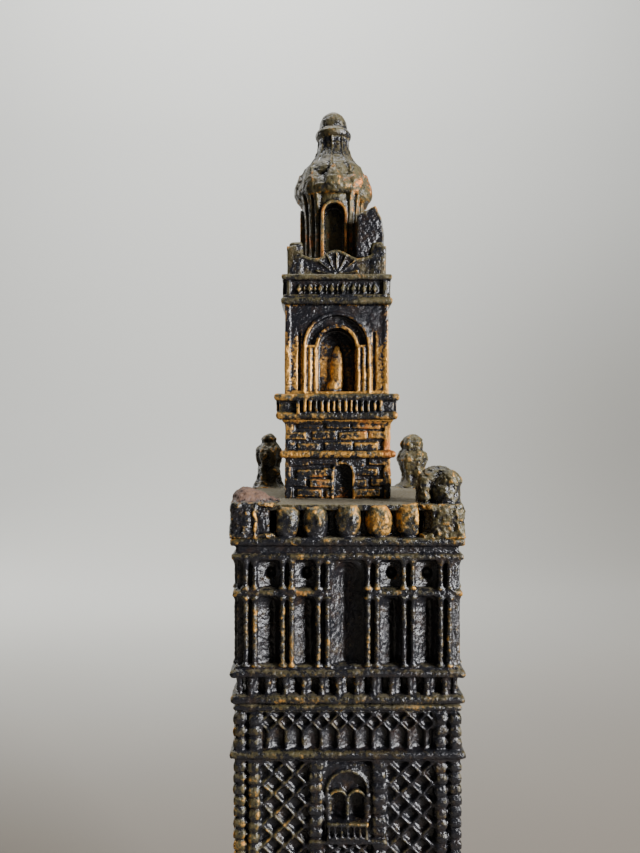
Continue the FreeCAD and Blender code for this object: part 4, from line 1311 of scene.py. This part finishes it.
pad = Mould()
EDGE = FELT_HIGH.x
pad.loft([rounded(half, z, 0, 0, 14, 64) for half, z in
          ((EDGE - 0.1, 0.0), (EDGE, 0.35), (EDGE, 0.75), (EDGE - 0.15, FELT_HIGH.z))])
felt = pad.object("felt_sheet")
finish(felt, "felt_pad", felt_finish())
print("felt pad:", len(felt.data.polygons), "faces")

# %% Finishes for the hidden hardware
def hardware(name, dark, light, metallic, rough):
    """Drawn metal: a fine grain along the rod and a slow change of shade."""
    material, net, shader, place = start_material(name)
    grain = net.noise(place, 1.8, 4.0, 3.0)
    shade = net.noise(place, 0.25, 2.0, 4.0)
    colour = net.mix(grain * 0.6 + shade * 0.4, dark, light)
    bump = net.add("ShaderNodeBump", {}, {"Strength": 0.3, "Distance": 0.0001, "Height": grain})
    for key, value in (("Base Color", colour), ("Roughness", grain * 0.25 + rough), ("Metallic", metallic),
                       ("Normal", bump)):
        net.plug(shader.inputs[key], value)
    return material


STEEL = hardware("zinc_plated_steel", (0.30, 0.31, 0.33, 1), (0.62, 0.63, 0.62, 1), 1.0, 0.25)
SOLDER = hardware("dull_solder", (0.22, 0.22, 0.21, 1), (0.45, 0.45, 0.43, 1), 0.8, 0.45)
for name, node in frame["nodes"].items():
    if name.startswith("tie_rod"):
        node.data.materials.clear()
        node.data.materials.append(STEEL)
    elif "solder" in name:
        node.data.materials.clear()
        node.data.materials.append(SOLDER)

# %% [markdown]
# ## Floor, light and camera
#
# A pale floor sweeps up into a backdrop with no line between them. One large soft window of light stands to
# the right and a little in front, which is what makes the left side of every hollow shine. The camera is very
# close to the model, so it looks level at the arched stage with a wide lens.

# %% Floor and backdrop
def studio_finish():
    """Grey paper with painted light falloff: painted shade in the foreground and low on the right, lighter as it
    rises.
    """
    material, net, shader, place = start_material("studio_paper")
    mottle = net.noise(place, 0.004, 2.0, 1.0) - 0.5
    across, away, rise = (net.add("ShaderNodeSeparateXYZ", {}, {0: place}, out=a) for a in "XYZ")
    near, high = (away + mottle * 60.0).step(40.0, 480.0), rise.step(0.0, 1050.0)
    right = (across / (away + 300.0)).step(-0.2, 0.45)
    # Painted shade and light: the paper is coloured darker near the model and low on the right, and lighter far
    # off and high up.
    painted_falloff = near * 0.59 + high * 0.26 - right * near * (1.0 - high) * 0.33
    colour = net.mix(painted_falloff.above(0.0).below(1.0), (0.120, 0.103, 0.082, 1), (0.82, 0.83, 0.79, 1))
    net.plug(shader.inputs["Base Color"], colour)
    shader.inputs["Roughness"].default_value = 0.9
    return material


def backdrop():
    half, back, radius, top = 3000.0, 1500.0, 900.0, 3000.0
    line = [(-3000.0, 0.0), (back - radius, 0.0)]
    line += [(back - radius + radius * math.sin(a), radius - radius * math.cos(a))
             for a in (math.pi / 2 * k / 24 for k in range(1, 25))]
    line.append((back, top))
    verts = [(x, y, z) for y, z in line for x in (-half, half)]
    faces = [(2 * k, 2 * k + 1, 2 * k + 3, 2 * k + 2) for k in range(len(line) - 1)]
    mesh = bpy.data.meshes.new("backdrop")
    mesh.from_pydata([Vector(v) * MM for v in verts], [], faces)
    mesh.polygons.foreach_set("use_smooth", [True] * len(faces))
    obj = link(bpy.data.objects.new("backdrop", mesh))
    mesh.materials.append(studio_finish())


backdrop()


# %% Lights
def area_light(name, place, target, size, power, colour=(1, 1, 1)):
    light = bpy.data.lights.new(name, "AREA")
    light.shape, light.size, light.size_y = "RECTANGLE", size[0], size[1]
    light.energy, light.color = power, colour
    obj = link(bpy.data.objects.new(name, light))
    obj.location = place
    obj.rotation_euler = (Vector(target) - Vector(place)).to_track_quat("-Z", "Y").to_euler()


AIM = (0.0, 0.0, 0.13)
area_light("window", (0.40, -0.29, 0.22), AIM, (0.18, 0.34), 9.2, (0.98, 0.98, 1.0))
area_light("sky_fill", (0.0, 0.15, 0.9), AIM, (0.9, 0.9), 1.6, (1.0, 0.99, 0.97))
area_light("back_left", (-0.60, 0.40, 0.45), AIM, (0.3, 0.4), 2.5, (1.0, 0.98, 0.95))
area_light("backdrop_wash", (-0.2, 0.3, 1.9), (0.0, 1.5, 0.8), (1.4, 0.6), 55.0)
world = bpy.data.worlds.new("room")
world.use_nodes = True
world.node_tree.nodes["Background"].inputs["Color"].default_value = (0.75, 0.77, 0.78, 1)
world.node_tree.nodes["Background"].inputs["Strength"].default_value = 0.07
bpy.context.scene.world = world

# %% Camera
lens = bpy.data.cameras.new("camera")
lens.lens, lens.sensor_width, lens.clip_start = 27.0, 36.0, 0.005
lens.shift_y = 0.0062
camera = link(bpy.data.objects.new("camera", lens))
camera.location = (-0.004155, -(FACE + 96.7) * MM, 0.1437)
camera.rotation_euler = (math.pi / 2, 0, 0)
bpy.context.scene.camera = camera
